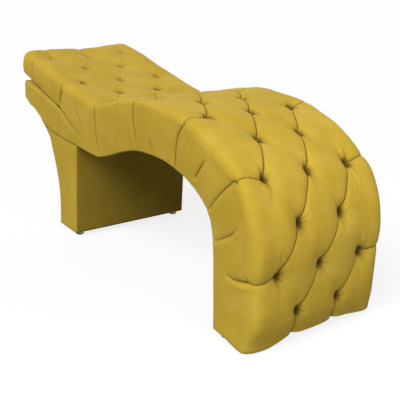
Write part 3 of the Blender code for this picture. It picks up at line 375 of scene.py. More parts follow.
def rise(stations, across):
    """The cover's height over the shoulder line without its tucks, at signed shares across.

    It is a crown, which falls off by the fourth power of the share, and the fullness of the
    filling, which falls off by a high power, plus the rise of the far edge, less the dishing of
    the middle and of the near edge. Towards the foot the cover is less full, most on the near side.
    """
    rows = np.interp(stations, row_stations, row_numbers)
    crown, full = np.interp(rows, FULL_ROWS, CROWNS), np.interp(rows, FULL_ROWS, FULLNESS)
    foot = ease(stations, TOP_LENGTH - FOOT_TAPER, TOP_LENGTH)
    power = EDGE_POWER - (EDGE_POWER - FOOT_POWER) * foot * ease(-across, *NEAR_HALF)
    far = np.interp(stations, FAR_STATIONS, FAR_RISES) * ease(across, *FAR_EDGE)
    dish = np.interp(stations, DISH_STATIONS, MIDDLE_DISHES)
    dish = dish * (1.0 - ease(np.abs(across), *DISH_EDGE))
    dish = dish + np.interp(stations, DISH_STATIONS, NEAR_DISHES) * ease(-across, *NEAR_EDGE)
    thin = FOOT_THIN - (FOOT_THIN - FAR_FOOT_THIN) * ease(across, *NEAR_EDGE)
    full = full * (1.0 - foot * thin)
    return crown * (1.0 - across ** 4) + full * (1.0 - np.abs(across) ** power) + far - dish


def placed(name, data):
    """An object that holds some data, in the scene."""
    obj = bpy.data.objects.new(name, data)
    bpy.context.scene.collection.objects.link(obj)
    return obj


HALF_HELD, HELD_WIDTH = 0.5, 0.006


def cloth_filled(grid, stations, pressure=6.0, cap=0.007, frames=20, held_radius=0.013):
    """A top grid after its filling has pushed it out, by a cloth run on every second point.

    The edges and the points at the buttons are held fast, those down in the tucks are half held,
    and the rest is cloth under pressure, with no gravity. Its movement, at most cap, is added to
    the grid, and a point in between gets the mean of its neighbours' movement.
    """
    part = grid[::2, ::2, :3]
    rows, columns = part.shape[:2]
    s, y = np.broadcast_arrays(stations[::2, None], columns_y[None, ::2])
    _, fold, weight = tuck_field(s, y)
    hold = HALF_HELD * weight * bell(fold, HELD_WIDTH)
    for station, place in button_spots:
        hold = np.maximum(hold, np.hypot(s - station, y - place) < held_radius)
    hold[[0, -1]], hold[:, :4], hold[:, -4:] = 1.0, 1.0, 1.0
    hold = np.round(hold, 1)
    first = (np.arange(rows - 1)[:, None] * columns + np.arange(columns - 1)).ravel()
    corners = np.stack([first, first + columns, first + columns + 1, first + 1], -1)
    mesh = bpy.data.meshes.new("cloth_run")
    mesh.from_pydata(part.reshape(-1, 3).tolist(), [], corners.tolist())
    run = placed("cloth_run", mesh)
    held = run.vertex_groups.new(name="held")
    for level in np.unique(hold[hold > 0.0]):
        held.add(np.flatnonzero(hold.ravel() == level).tolist(), float(level), "REPLACE")
    cloth = run.modifiers.new("cloth", "CLOTH")
    cloth.settings.vertex_group_mass = "held"
    cloth.settings.use_pressure = True
    cloth.settings.uniform_pressure_force = pressure
    cloth.settings.mass = 0.01
    cloth.settings.effector_weights.gravity = 0.0
    cloth.point_cache.frame_start, cloth.point_cache.frame_end = 1, frames
    for frame_number in range(1, frames + 1):
        bpy.context.scene.frame_set(frame_number)
    result = run.evaluated_get(bpy.context.evaluated_depsgraph_get()).data
    places = np.empty(3 * rows * columns, np.float32)
    result.vertices.foreach_get("co", places)
    moved = places.reshape(rows, columns, 3) - part
    bpy.data.objects.remove(run)
    bpy.data.meshes.remove(mesh)
    bpy.context.scene.frame_set(1)
    size = np.linalg.norm(moved, axis=2, keepdims=True)
    moved = moved * np.minimum(1.0, cap / np.maximum(size, 1e-9))
    fine = np.zeros((*grid.shape[:2], 3))
    fine[::2, ::2] = moved
    fine[1::2, ::2] = (moved[:-1] + moved[1:]) / 2
    fine[:, 1::2] = (fine[:, :-2:2] + fine[:, 2::2]) / 2
    grid = grid.copy()
    grid[..., :3] += fine
    return grid


def side_strip(hip, feet, rows, foot_round, foot_y):
    """A side's grid from hip points down to foot points, at shares of the way.

    It bellies out by half a sine wave, and a quarter circle turns it in at the foot.
    """
    length = np.linalg.norm(feet - hip, axis=1)
    turn_in = quarter(5)[1:]
    straight = rows[:, None] * (length - foot_round) / length
    curl = 1.0 - foot_round * (1.0 - np.sin(turn_in[:, None])) / length
    run = np.concatenate([straight, curl, np.ones((1, len(length)))])
    line = hip[None] * (1.0 - run[..., None]) + feet[None] * run[..., None]
    inwards = np.concatenate([0.0 * straight, foot_round * (1.0 - np.cos(turn_in[:, None])),
                              np.full((1, len(length)), SIDE_Y - foot_y)])
    facing = np.concatenate([np.ones(len(rows)), np.cos(turn_in), [0.0]])[:, None]
    x, z = line[..., 0], line[..., 1]
    depth, fold, weight = pleat_field(x, z)
    belly = SIDE_BELLY * np.sin(np.pi * run)
    y = SIDE_Y - inwards + facing * (belly + ripple(x, SIDE_Y, z) - depth)
    return np.stack([x, y, z, fold, weight * facing], -1)


def cover_strips(stations, feet, rows, foot_round, foot_y):
    """A cover's strips across a run of stations: the top with its shoulders, and the two sides.

    The top stands over the shoulder line by its rise, less the tucks. Each shoulder is a quarter
    circle. A side runs from the end of the shoulder to the foot line, with rows at shares of its
    length. Each result is a grid of points with the fold's distance and strength as its last two
    numbers.
    """
    point, normal = top_frame(stations)
    s, y_all, turn = stations[:, None], columns_y[None, :], columns_turn[None, :]
    height = rise(s, y_all / SIDE_Y) - SHOULDER * (1.0 - np.cos(turn))
    hips = point[:, None] + normal[:, None] * height[..., None]
    bare_x, bare_z = hips[..., 0], hips[..., 1]
    top_depth, top_fold, top_weight = tuck_field(*np.broadcast_arrays(s, y_all))
    side_depth, side_fold, side_weight = pleat_field(bare_x, bare_z)
    share = ease(np.abs(np.sin(turn)), *SHOULDER_BLEND)
    depth = top_depth + share * (side_depth - top_depth) - ripple(bare_x, y_all, bare_z)
    top_fold, side_fold = (np.clip(f, -FOLD_LIMIT, FOLD_LIMIT) for f in (top_fold, side_fold))
    top = np.stack([
        bare_x - normal[:, :1] * np.cos(turn) * depth, y_all - np.sin(turn) * depth,
        bare_z - normal[:, 1:] * np.cos(turn) * depth, top_fold + share * (side_fold - top_fold),
        top_weight + share * (side_weight - top_weight)], -1)
    strips = (side_strip(hips[:, k], feet, rows[1:], foot_round, foot_y) for k in (-1, 0))
    side, near_side = (np.concatenate([top[:, -1][None], strip]) for strip in strips)
    near_side = mirrored(near_side)
    settle = np.clip(1.0 - np.arange(len(side)) / SETTLE_ROWS, 0.0, 1.0)[:, None] ** 2
    near_side[..., 1] += (top[:, 0, 1] - near_side[0, :, 1]) * settle
    near_side[0] = top[:, 0]
    return cloth_filled(top, stations), side, near_side


def grid_faces(rows, columns, start, slant=None):
    """Triangles of a grid whose points are numbered from start, each cell cut along a diagonal."""
    i, j = np.meshgrid(np.arange(rows - 1), np.arange(columns - 1), indexing="ij")
    a = start + i * columns + j
    b, c, d = a + 1, a + columns + 1, a + columns
    slant = np.zeros(a.shape, bool) if slant is None else slant
    first = np.where(slant[..., None], np.stack([a, b, c], -1), np.stack([a, b, d], -1))
    second = np.where(slant[..., None], np.stack([a, c, d], -1), np.stack([b, c, d], -1))
    return np.concatenate([first.reshape(-1, 3), second.reshape(-1, 3)])


def with_tufting(grid, stations):
    """A top grid with each point's row number and column number in the tufting."""
    beyond = stations - np.clip(stations, row_stations[0], row_stations[-1])
    rows = np.interp(stations, row_stations, row_numbers) + beyond / ROW_SPACING
    place = np.broadcast_arrays(rows[:, None], columns_y[None, :] / COLUMN_SPACING)
    return np.concatenate([grid, np.stack(place, -1)], 2)


def tuft_slant(stations):
    """Which way each cell's diagonal runs, so that the nearest fold lies along it."""
    middle_s = (stations[1:] + stations[:-1])[:, None] / 2
    middle_y = (columns_y[1:] + columns_y[:-1])[None, :] / 2
    sigma = np.interp(middle_s, row_stations, row_numbers)
    psi = np.clip(middle_y / COLUMN_SPACING, -2.0, 2.0)
    return np.abs(near(sigma - psi, 2.0)) < np.abs(near(sigma + psi, 2.0))


OFF_ROW, OFF_COLUMN = 20.0, SIDE_Y / COLUMN_SPACING
FIELDS = ("fold", "fold_strength", "tuft_row", "tuft_column")
WELD_STEPS = 2e4


def sewn_mesh(name, strips):
    """One mesh from strips of (grid, turned, slant), with equal points joined.

    A turned strip has its faces reversed. Points off the tufting get a row far from any of its own.
    The folds' distances and strengths and the rows and columns become point attributes, which the
    suede reads for its bumps and for the shade it paints in the folds and pits.
    """
    points, faces, start = [], [], 0
    for grid, turned, slant in strips:
        rows, columns = grid.shape[:2]
        some = grid_faces(rows, columns, start, slant)
        faces.append(some[:, ::-1] if turned else some)
        if grid.shape[2] < 7:
            off = np.where(grid[..., 0] > 0, OFF_ROW, -OFF_ROW), OFF_COLUMN * np.sign(grid[..., 1])
            grid = np.concatenate([grid, np.stack(off, -1)], 2)
        points.append(grid.reshape(-1, 7))
        start += rows * columns
    points, faces = np.vstack(points), np.vstack(faces)
    _, first, joined = np.unique(np.round(points[:, :3] * WELD_STEPS).astype(np.int64), axis=0,
                                 return_index=True, return_inverse=True)
    points, faces = points[first], joined.reshape(-1)[faces]
    faces = faces[(faces[:, 0] != faces[:, 1]) & (faces[:, 1] != faces[:, 2])
                  & (faces[:, 2] != faces[:, 0])]
    mesh = bpy.data.meshes.new(name)
    mesh.vertices.add(len(points))
    mesh.vertices.foreach_set("co", points[:, :3].astype(np.float32).ravel())
    mesh.loops.add(3 * len(faces))
    mesh.loops.foreach_set("vertex_index", faces.astype(np.int32).ravel())
    mesh.polygons.add(len(faces))
    mesh.polygons.foreach_set("loop_start", np.arange(0, 3 * len(faces), 3, dtype=np.int32))
    mesh.update(calc_edges=True)
    mesh.validate()
    for column, word in enumerate(FIELDS, 3):
        field = mesh.attributes.new(word, "FLOAT", "POINT")
        field.data.foreach_set("value", points[:, column].astype(np.float32))
    mesh.shade_smooth()
    return placed(name, mesh)


# The body's columns: pairs of a station on top and an x, or on the leg a height, of the underside
# say where a side's column ends, and a bell smooths the way between the pairs
FOOT_ROUND = 0.010
BODY_FOOT_Y, HEAD_FOOT_Y = 0.2877, 0.2727
BLEND_STEPS, END_STEPS = 12, 16
ARCH_X, LEG_X = 0.55, 0.45
row_grid = np.interp(np.arange(11 * TUCK_STEPS + 1) / TUCK_STEPS, row_numbers, row_stations)
body_stations = np.concatenate([
    row_grid, np.linspace(row_grid[-1], TOP_LENGTH - FOOT_ROUND, END_STEPS + 1)[1:]])
hip_pairs = np.array([(FIRST_ROW, -0.4961), (row_stations[4], -0.155), (row_stations[6], 0.170),
                      (row_stations[8], 0.400), (row_stations[9], 0.490)])
leg_pairs = np.array([
    (row_stations[10], 0.500), (row_stations[11], 0.4200), (row_stations[12], 0.270)])
arch_end = int(np.argmax(underside[:, 0] > ARCH_X))
hip_along = np.interp(hip_pairs[:, 1], underside[:arch_end, 0], under_along[:arch_end])
on_leg = underside[:, 0] > LEG_X
leg_along = np.interp(-leg_pairs[:, 1], -underside[on_leg, 1], under_along[on_leg])
foot_along = np.interp(body_stations, [*hip_pairs[:, 0], *leg_pairs[:, 0], TOP_LENGTH],
                       [*hip_along, *leg_along, under_along[-1]])
soft = bell(np.linspace(-2.0, 2.0, 2 * BLEND_STEPS + 1), 1.0)
foot_along = np.convolve(np.concatenate([
    2 * foot_along[0] - foot_along[BLEND_STEPS:0:-1], foot_along,
    2 * foot_along[-1] - foot_along[-2:-2 - BLEND_STEPS:-1]]), soft / soft.sum(), "valid")
body_feet, _ = walk(underside, np.minimum(foot_along, under_along[-1]))

# The body's side meets the head rest's on a line from the shoulder through the hinge down to the
# underside
PAST_HINGE = 0.001
first_point, first_normal = top_frame(row_stations[2:3])
first_hip = (first_point - first_normal * SHOULDER)[0]
hinge_foot = HINGE + np.array([PAST_HINGE, 0.0])
steps_down = (hinge_foot - first_hip)[None] * np.linspace(1.0, 4.0, 3001)[:, None] + first_hip
first_foot = steps_down[int(np.argmax(steps_down[:, 1] < under_z(steps_down[:, 0])))]
head_share = float(np.linalg.norm(hinge_foot - first_hip) / np.linalg.norm(first_foot - first_hip))
body_feet[0] = first_foot
HEAD_ROWS, LOWER_ROWS = 21, 25
body_rows = np.concatenate([np.linspace(0.0, head_share, HEAD_ROWS),
                            np.linspace(head_share, 1.0, LOWER_ROWS)[1:]])
body_top, body_side, body_near = cover_strips(
    body_stations, body_feet, body_rows, np.full(len(body_stations), HEM_ROUND), BODY_FOOT_Y)

# The head rest's columns end on its sloping bottom, and those over the crease fan in to the hinge
END_ROUND = 0.012
END_THICKNESS = 0.074
FACE_STATION, FACE_FOOT = -0.1056, 0.010
ROUND_START = -0.060
head_rows = np.interp(np.arange(-2 * TUCK_STEPS, 1) / TUCK_STEPS, row_numbers, row_stations)
head_stations = np.concatenate([
    np.linspace(HEAD_END + END_ROUND, head_rows[0], END_STEPS + 1)[:-1], head_rows])
end_top = TOP_START[1] + (TOP_START[0] + BED_LENGTH / 2) * math.tan(HEAD_SLOPE)
PAD_RISE = math.atan2(end_top - END_THICKNESS - HINGE[1], HINGE[0] + BED_LENGTH / 2)
head_feet_x = np.interp(head_stations, [HEAD_END, FACE_STATION, FIRST_ROW],
                        [-BED_LENGTH / 2, HINGE[0] - FACE_FOOT, hinge_foot[0]])
head_feet = np.stack([
    head_feet_x, HINGE[1] + (HINGE[0] - head_feet_x) * math.tan(PAD_RISE)], -1)
head_feet[-1] = hinge_foot
head_round = HEM_ROUND * (1.0 - ease(head_stations, ROUND_START, FIRST_ROW)) + LEAST_ROUND
head_top, head_side, head_near = cover_strips(
    head_stations, head_feet, np.linspace(0.0, 1.0, HEAD_ROWS), head_round, HEAD_FOOT_Y)

# The head rest's end: the top, sides and bottom turn in by a quarter circle to a flat end face
END_PARTS = 6
SKIRT_LENGTH = 0.045
end_turn = quarter(END_PARTS)[1:][::-1]


def end_rings(ring, outward):
    """Rings past the first one of a strip, which turn in round the end towards the face."""
    reach = END_ROUND * np.sin(end_turn)[:, None, None] * -np.array([SLOPE[0], 0.0, SLOPE[1]])
    draw = END_ROUND * (1.0 - np.cos(end_turn))[:, None, None] * outward[None]
    rings = ring[None].repeat(END_PARTS, 0)
    rings[..., :3] += reach - draw
    return rings


top_outward = np.stack([np.cos(columns_turn) * SLOPE_NORMAL[0], np.sin(columns_turn),
                        np.cos(columns_turn) * SLOPE_NORMAL[1]], -1)
head_top = np.concatenate([end_rings(head_top[0], top_outward), head_top])
side_turn = np.concatenate([np.zeros(len(head_side) - 6), quarter(5)[1:], [math.pi / 2]])
side_outward = np.stack([-np.sin(side_turn) * math.sin(PAD_RISE), np.cos(side_turn),
                         -np.sin(side_turn) * math.cos(PAD_RISE)], -1)
head_side, head_near = (
    np.concatenate([end_rings(strip[:, 0], outward).swapaxes(0, 1), strip], 1)
    for strip, outward in ((head_side, side_outward), (head_near, mirrored(side_outward))))
skirt_columns = int(np.searchsorted(head_stations, HEAD_END + SKIRT_LENGTH)) + END_PARTS
bottom_y = np.linspace(-HEAD_FOOT_Y, HEAD_FOOT_Y, 25)
head_skirt = head_side[-1, :skirt_columns, None].repeat(len(bottom_y), 1)
head_skirt[..., 1] = bottom_y
head_skirt[..., 4] = 0.0

# The end face is a blend of its four edges: the mean between facing edges, both ways, less the
# same mean of the corners
top_edge, side_edge, near_edge = head_top[0], head_side[:, 0], head_near[:, 0]
v = line_lengths(side_edge[:, 1:3])
v = (v / v[-1])[:, None, None]
top_spread = top_edge[:, 1] / abs(top_edge[0, 1])
u = (top_spread[None, :, None] + 1) / 2
bottom_edge = side_edge[-1][None].repeat(len(top_edge), 0)
bottom_edge[:, 1] = top_spread * side_edge[-1, 1]
bottom_edge[0], bottom_edge[-1] = near_edge[-1], side_edge[-1]
corners = ((1 - v) * ((1 - u) * top_edge[0] + u * top_edge[-1])
           + v * ((1 - u) * bottom_edge[0] + u * bottom_edge[-1]))
head_face = ((1 - v) * top_edge + v * bottom_edge
             + (1 - u) * near_edge[:, None] + u * side_edge[:, None] - corners)
head_face[..., 3:] = FOLD_LIMIT, 0.0

# The leg's foot: the cover rolls in under the leg, and its hem sags at both corners of the front
HEM_DEPTH = 0.035
ACROSS_DRAW = 0.35
NEAR_SAG, NEAR_SAG_EDGE, FAR_SAG, FAR_SAG_EDGE = 0.0190, (0.11, 0.22), 0.0085, (0.14, 0.28)
HEM_RISE, TUCK_RISE, TUCK_RISE_WIDTH = 0.0035, 0.0075, 0.020
BACK_RISE, BACK_EDGE, FRONT_EDGE = 0.005, (0.0, 0.7), (0.4, 1.0)
foot_turn = quarter(5)[1:]
foot_drop = np.append(np.sin(foot_turn), 1.0)
foot_draw = np.append(FOOT_ROUND * (1 - np.cos(foot_turn)), HEM_DEPTH)
foot_ring = body_top[-1]
foot_sag = NEAR_SAG * ease(-columns_y, *NEAR_SAG_EDGE) + FAR_SAG * ease(columns_y, *FAR_SAG_EDGE)
tuck_rise = TUCK_RISE * bell(np.abs(columns_y) - COLUMN_SPACING, TUCK_RISE_WIDTH)
foot_sag = foot_sag - HEM_RISE - tuck_rise
foot_rings = foot_ring[None].repeat(len(foot_drop), 0)
foot_rings[..., 2] -= foot_drop[:, None] * (foot_ring[:, 2] - GLIDE_HEIGHT + foot_sag)
foot_rings[..., 0] -= foot_draw[:, None] * np.cos(columns_turn)
foot_rings[..., 1] -= foot_draw[:, None] * np.sin(columns_turn) * ACROSS_DRAW


def leg_hem(side, facing, sag):
    """A leg side's bottom edge, in rings that drop to the foot's height and turn inwards.

    The sag of the front corner fades towards the back, where the hem is a little higher.
    """
    edge = side[:, -1]
    share = np.clip((edge[:, 0] - edge[-1, 0]) / (edge[0, 0] - edge[-1, 0]), 0.0, 1.0)
    drop = edge[:, 2] - GLIDE_HEIGHT + sag * ease(share, *FRONT_EDGE)
    drop = drop - BACK_RISE * (1.0 - ease(share, *BACK_EDGE))
    rings = edge[:, None].repeat(len(foot_drop) + 1, 1)
    rings[:, 1:, 2] -= foot_drop * drop[:, None]
    rings[:, 1:, 1] -= facing * foot_draw * ACROSS_DRAW
    return rings


side_hem = leg_hem(body_side, 1.0, foot_sag[-1])
near_hem = leg_hem(body_near, -1.0, foot_sag[0])
tufted_cover = sewn_mesh("tufted_cover", [
    (with_tufting(body_top, body_stations), True, tuft_slant(body_stations)),
    (np.concatenate([foot_ring[None], foot_rings]), True, None),
    (body_side, False, None), (body_near, True, None),
    (side_hem, False, None), (near_hem, True, None),
    (with_tufting(head_top[END_PARTS:], head_stations), True, tuft_slant(head_stations)),
    (head_top[:END_PARTS + 1], True, None), (head_side, False, None), (head_near, True, None),
    (head_skirt, False, None), (head_face, False, None),
])
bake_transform(tufted_cover)
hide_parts("seat_cushion", "leg_cushion", "head_cushion", "crease_foam",
            "side_pad_left", "side_pad_right")

# Covered buttons: domes of the same suede pressed over metal shells, held by cords through the
# foam, so each sits at the bottom of its pit.
BUTTON_PROFILE = np.array([
    (0.0, 0.0044), (0.0026, 0.0042), (0.0050, 0.0034), (0.0068, 0.0020), (0.0076, 0.0004),
    (0.0074, -0.0012), (0.0060, -0.0030), (0.0, -0.0030)])
BUTTON_LIFT = 0.0012


def covered_buttons(name, spots):
    """One mesh of domes at stations and places across: a profile turned about the normal there."""
    station, y = spots[:, 0], spots[:, 1]
    point, normal = top_frame(station)
    depth, _, _ = tuck_field(station, y)
    point = point + normal * (rise(station, y / SIDE_Y) - depth + BUTTON_LIFT)[:, None]
    up = np.stack([normal[:, 0], 0.0 * y, normal[:, 1]], -1)
    along = np.stack([normal[:, 1], 0.0 * y, -normal[:, 0]], -1)
    angle = np.arange(20) * math.tau / 20
    radius, height = BUTTON_PROFILE[:, :1], BUTTON_PROFILE[:, 1:] + 0.0 * angle
    domes = np.stack([point[:, 0], y, point[:, 1]], -1)[:, None, None]
    domes = domes + up[:, None, None] * height[..., None]
    domes = domes + along[:, None, None] * (radius * np.cos(angle))[..., None]
    domes[..., 1] += radius * np.sin(angle)
    domes = np.concatenate([domes, domes[:, :, :1]], 2)
    marks = np.zeros((*domes.shape[1:3], 2))
    return sewn_mesh(name, [(np.concatenate([dome, marks], -1), False, None) for dome in domes])


on_head = button_spots[:, 0] < 0.0
buttons_body = covered_buttons("tuft_buttons_body", button_spots[~on_head])
buttons_head = covered_buttons("tuft_buttons_head", button_spots[on_head])
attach(buttons_body, "bed_frame")
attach(buttons_head, "head_rest")

# Slab cover: the slab that the head rest lies on is padded at its sides, its top and its end, and
# its cloth is stapled down on the slab's board in front of the hinges.
SLAB_TOP_EDGE, SLAB_BEND, SLAB_END_HIGH = -0.5185, (-0.4825, 0.5772), 0.887 * HUMP_HEIGHT
SLAB_ROUND, ROUND_EASE = 0.008, 0.030
SLAB_COLUMNS, END_COLUMNS, CORNER_PARTS = 60, 41, 7
CORNER = 0.014
LID_CROWN, LID_HEM, LID_EASE = 0.003, 0.008, 0.020
SLAB_TUCK = 0.011
slab_high = np.array([hinge_foot, SLAB_BEND, (SLAB_END, SLAB_END_HIGH)])


def slab_wrap(x_high, x_low, y, out_x, out_y, rows):
    """The slab's side or end as one grid of columns, given by their x at the top and the bottom.

    Each column goes down a quarter circle, straight, and round another quarter circle and under.
    """
    high = np.stack([x_high, np.interp(-x_high, -slab_high[:, 0], slab_high[:, 1])], -1)
    low = np.stack([x_low, under_z(x_low)], -1)
    length = np.linalg.norm(high - low, axis=1)
    top_round = SLAB_ROUND * ease(-x_high, -hinge_foot[0], -HINGE[0] + ROUND_EASE) + LEAST_ROUND
    turn = quarter(5)
    over, under = turn[:0:-1, None], turn[1:, None]
    first = top_round + rows[:, None] * (length - HEM_ROUND - top_round)
    down = np.concatenate([top_round * (1.0 - np.sin(over)), first,
                           length - HEM_ROUND * (1.0 - np.sin(under)), length[None]]) / length
    hem = HEM_ROUND * (1.0 - np.cos(under)) + 0.0 * length
    inwards = np.concatenate([top_round * (1.0 - np.cos(over)), 0.0 * first, hem,
                              np.full((1, len(length)), SLAB_TUCK)])
    facing = np.concatenate([np.cos(over), np.ones((len(rows), 1)), np.cos(under), [[0.0]]])
    line = high[None] * (1.0 - down[..., None]) + low[None] * down[..., None]
    x, z = line[..., 0], line[..., 1]
    depth, fold, weight = pleat_field(x, z)
    inwards = inwards + facing * (depth * out_y - ripple(x, y, z))
    return np.stack([x - out_x * inwards, y - out_y * inwards, z, fold, weight * facing], -1)


lower_rows = (body_rows[HEAD_ROWS - 1:] - head_share) / (1.0 - head_share)
slab_x = np.linspace(hinge_foot[0], SLAB_END + CORNER, SLAB_COLUMNS)
slab_low_x = np.interp(slab_x, [SLAB_END + CORNER, hinge_foot[0]],
                       [SLAB_END + CORNER, first_foot[0]])
slab_side = slab_wrap(slab_x, slab_low_x, SIDE_Y, 0.0, 1.0, lower_rows)
corner_turn = quarter(CORNER_PARTS)
end_y = np.linspace(SIDE_Y - CORNER, CORNER - SIDE_Y, END_COLUMNS)[1:-1]
end_out_x = np.append(-np.sin(corner_turn), np.full(len(end_y), -1.0))
end_out_y = np.append(np.cos(corner_turn), np.zeros(len(end_y)))
end_x = SLAB_END + CORNER * (1.0 + end_out_x)
slab_end = slab_wrap(end_x, end_x, np.append(SIDE_Y - CORNER * (1 - np.cos(corner_turn)), end_y),
                     end_out_x, end_out_y, lower_rows)
slab_end = np.concatenate([slab_end, mirrored(slab_end[:, :len(corner_turn)])[:, ::-1]], 1)
lid_y = np.linspace(-1.0, 1.0, END_COLUMNS)[None, :]
slab_lid = slab_side[0, slab_x < SLAB_TOP_EDGE][:, None, :].repeat(lid_y.size, 1)
slab_lid[..., 1] *= lid_y
lid_ease = ease(SLAB_TOP_EDGE - slab_lid[..., 0], 0.0, LID_EASE)
slab_lid[..., 2] += LID_CROWN * (1 - lid_y ** 4) * lid_ease
slab_lid[..., 4] = 0.0
hem = slab_lid[:1].copy()
hem[..., 2] -= LID_HEM
slab_lid = np.concatenate([hem, slab_lid])
end_lid = np.stack([slab_lid[-1], slab_lid[-1]])
end_lid[1, :, 0] = slab_end[0, END_COLUMNS // 2, 0]
slab_cover = sewn_mesh("slab_cover", [
    (slab_side, True, None), (mirrored(slab_side), False, None), (slab_end, True, None),
    (slab_lid, False, None), (end_lid, False, None)])
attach(slab_cover, "bed_frame")
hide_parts("slab_pad", "slab_end_pad")

# Pedestal cover: a hood of suede over the plywood box, square at the front and flared at the back
# to carry the slab, with its hem turned in under the bottom edge.
PEDESTAL_FRONT = -0.3165
PEDESTAL_BACK = -0.4815
FLARE_REACH = 0.196
FLARE_SHARES = np.array([
    (0.0, 0.0), (0.0, 0.22), (0.07, 0.42), (0.25, 0.62), (0.42, 0.76), (0.57, 0.87), (1.0, 1.0)])
POST = 0.007
TOP_GAP = 0.0003
HEM_IN, HEM_LIFT = 0.012, 0.0005
CLIMB_STEPS, SIDE_STEPS, FACE_STEPS = 60, 24, 32
climb = np.linspace(0.0, 1.0, CLIMB_STEPS + 1)
flare_rise = float(under_z(PEDESTAL_BACK - FLARE_REACH)) - TOP_GAP - GLIDE_HEIGHT
flare = through(np.array([PEDESTAL_BACK, GLIDE_HEIGHT])
                + FLARE_SHARES * np.array([-FLARE_REACH, flare_rise]), 8)
flare_back, _ = walk(flare, climb * line_lengths(flare)[-1])
front_z = GLIDE_HEIGHT + climb * (under_z(PEDESTAL_FRONT) - TOP_GAP - GLIDE_HEIGHT)
flare_front = np.stack([np.full(len(climb), PEDESTAL_FRONT), front_z], -1)


def pedestal_points(share, y):
    """Columns of the hood, bottom to top, at shares of the way from its back to its front.

    Each is lifted or lowered by the fourth power of its climb, to end just under the underside.
    """
    share = share[:, None]
    line = flare_back[:, None] * (1.0 - share) + flare_front[:, None] * share
    x, z = line[..., 0], line[..., 1]
    z = z + climb[:, None] ** 4 * (under_z(x[-1]) - TOP_GAP - z[-1])
    return np.stack([x, y + 0.0 * x, z, np.full(x.shape, FOLD_LIMIT), 0.0 * x], -1)


post_turn = quarter(5)[::-1]
post_share = POST / (PEDESTAL_FRONT - PEDESTAL_BACK) * (1.0 - np.sin(post_turn))
post_y = SIDE_Y - POST * (1.0 - np.cos(post_turn))
face_y = np.linspace(POST - SIDE_Y, SIDE_Y - POST, FACE_STEPS + 1)
side_share = np.linspace(post_share[-1], 1.0 - post_share[-1], SIDE_STEPS + 1)
half_share = np.concatenate([post_share[:-1], side_share, 1.0 - post_share[::-1][1:]])
half_y = np.concatenate([post_y[:-1], np.full(SIDE_STEPS + 1, SIDE_Y), post_y[::-1][1:]])
hood = pedestal_points(np.concatenate([np.zeros(FACE_STEPS), half_share, np.ones(FACE_STEPS)]),
                       np.concatenate([face_y[:-1], half_y, face_y[::-1][1:]]))
hood_far = pedestal_points(half_share[::-1], -half_y[::-1])
hem_low = np.concatenate([hood, hood_far], 1)[:1]
to_middle = (PEDESTAL_FRONT + PEDESTAL_BACK) / 2 - hem_low[..., 0]
hem_in = hem_low.copy()
hem_in[..., 0] += np.clip(to_middle, -HEM_IN, HEM_IN)
hem_in[..., 1] *= 1.0 - HEM_IN / SIDE_Y
hem_in[..., 2] += HEM_LIFT
pedestal_hood = sewn_mesh("pedestal_hood", [
    (hood, True, None), (hood_far, True, None), (np.concatenate([hem_in, hem_low]), True, None)])
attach(pedestal_hood, "bed_frame")
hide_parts("pedestal_cover")


# Suede: one mustard microsuede covers everything. Its nap is brushed unevenly, so it is lighter and
# darker in patches, and it is paler where it is seen at a low angle. Shade is painted into its
# colour down in the tucks, folds and pits.
def principled(name, colour, roughness, metallic=0.0, specular=0.5):
    """A material with a Principled shader, with its node tree and that shader."""
    material = bpy.data.materials.new(name)
    material.use_nodes = True
    shader = material.node_tree.nodes["Principled BSDF"]
    shader.inputs["Base Color"].default_value = (*colour, 1.0)
    shader.inputs["Roughness"].default_value = roughness
    shader.inputs["Metallic"].default_value = metallic
    shader.inputs["Specular IOR Level"].default_value = specular
    return material, material.node_tree, shader


def add(tree, kind, inputs=None, **settings):
    """A node of a kind, with settings, and with inputs that are values or sockets to link."""
    node = tree.nodes.new(kind)
    for word, value in settings.items():
        setattr(node, word, value)
    for key, value in (inputs or {}).items():
        if isinstance(value, bpy.types.NodeSocket):
            tree.links.new(value, node.inputs[key])
        else:
            node.inputs[key].default_value = value
    return node


def maths(tree, operation, *values):
    """The output of a Math node."""
    return add(tree, "ShaderNodeMath", dict(enumerate(values)), operation=operation).outputs[0]


def total(tree, *terms):
    """The sum of terms, each a value times a weight."""
    result = maths(tree, "MULTIPLY", *terms[0])
    for value, weight in terms[1:]:
        result = maths(tree, "MULTIPLY_ADD", value, weight, result)
    return result


def bell_shade(tree, value, width):
    """A bell curve of a value: 1 at zero and nearly 0 past twice the width."""
    share = maths(tree, "DIVIDE", value, width)
    square = maths(tree, "MULTIPLY", share, share)
    return maths(tree, "EXPONENT", maths(tree, "MULTIPLY", square, -1.0))


def noise(tree, vector, scale, detail, **inputs):
    """The value of a noise texture."""
    inputs = {"Vector": vector, "Scale": scale, "Detail": detail, **inputs}
    return add(tree, "ShaderNodeTexNoise", inputs).outputs["Fac"]


def stretched(tree, vector, scale):
    """A vector scaled by a factor for each axis."""
    return add(tree, "ShaderNodeMapping", {"Vector": vector, "Scale": scale}).outputs["Vector"]


def ramp(tree, value, *stops):
    """The colour at a value, on a ramp through stops of a position and a colour."""
    node = add(tree, "ShaderNodeValToRGB", {"Fac": value})
    elements = node.color_ramp.elements
    elements.remove(elements[1])
    for k, (position, colour) in enumerate(stops):
        element = elements.new(position) if k else elements[0]
        element.position, element.color = position, (*colour, 1.0)
    return node.outputs["Color"]


def bump(tree, shader, height, strength, distance):
    """Bumps of a height on a shader."""
    inputs = {"Height": height, "Strength": strength, "Distance": distance}
    node = add(tree, "ShaderNodeBump", inputs)
    tree.links.new(node.outputs["Normal"], shader.inputs["Normal"])


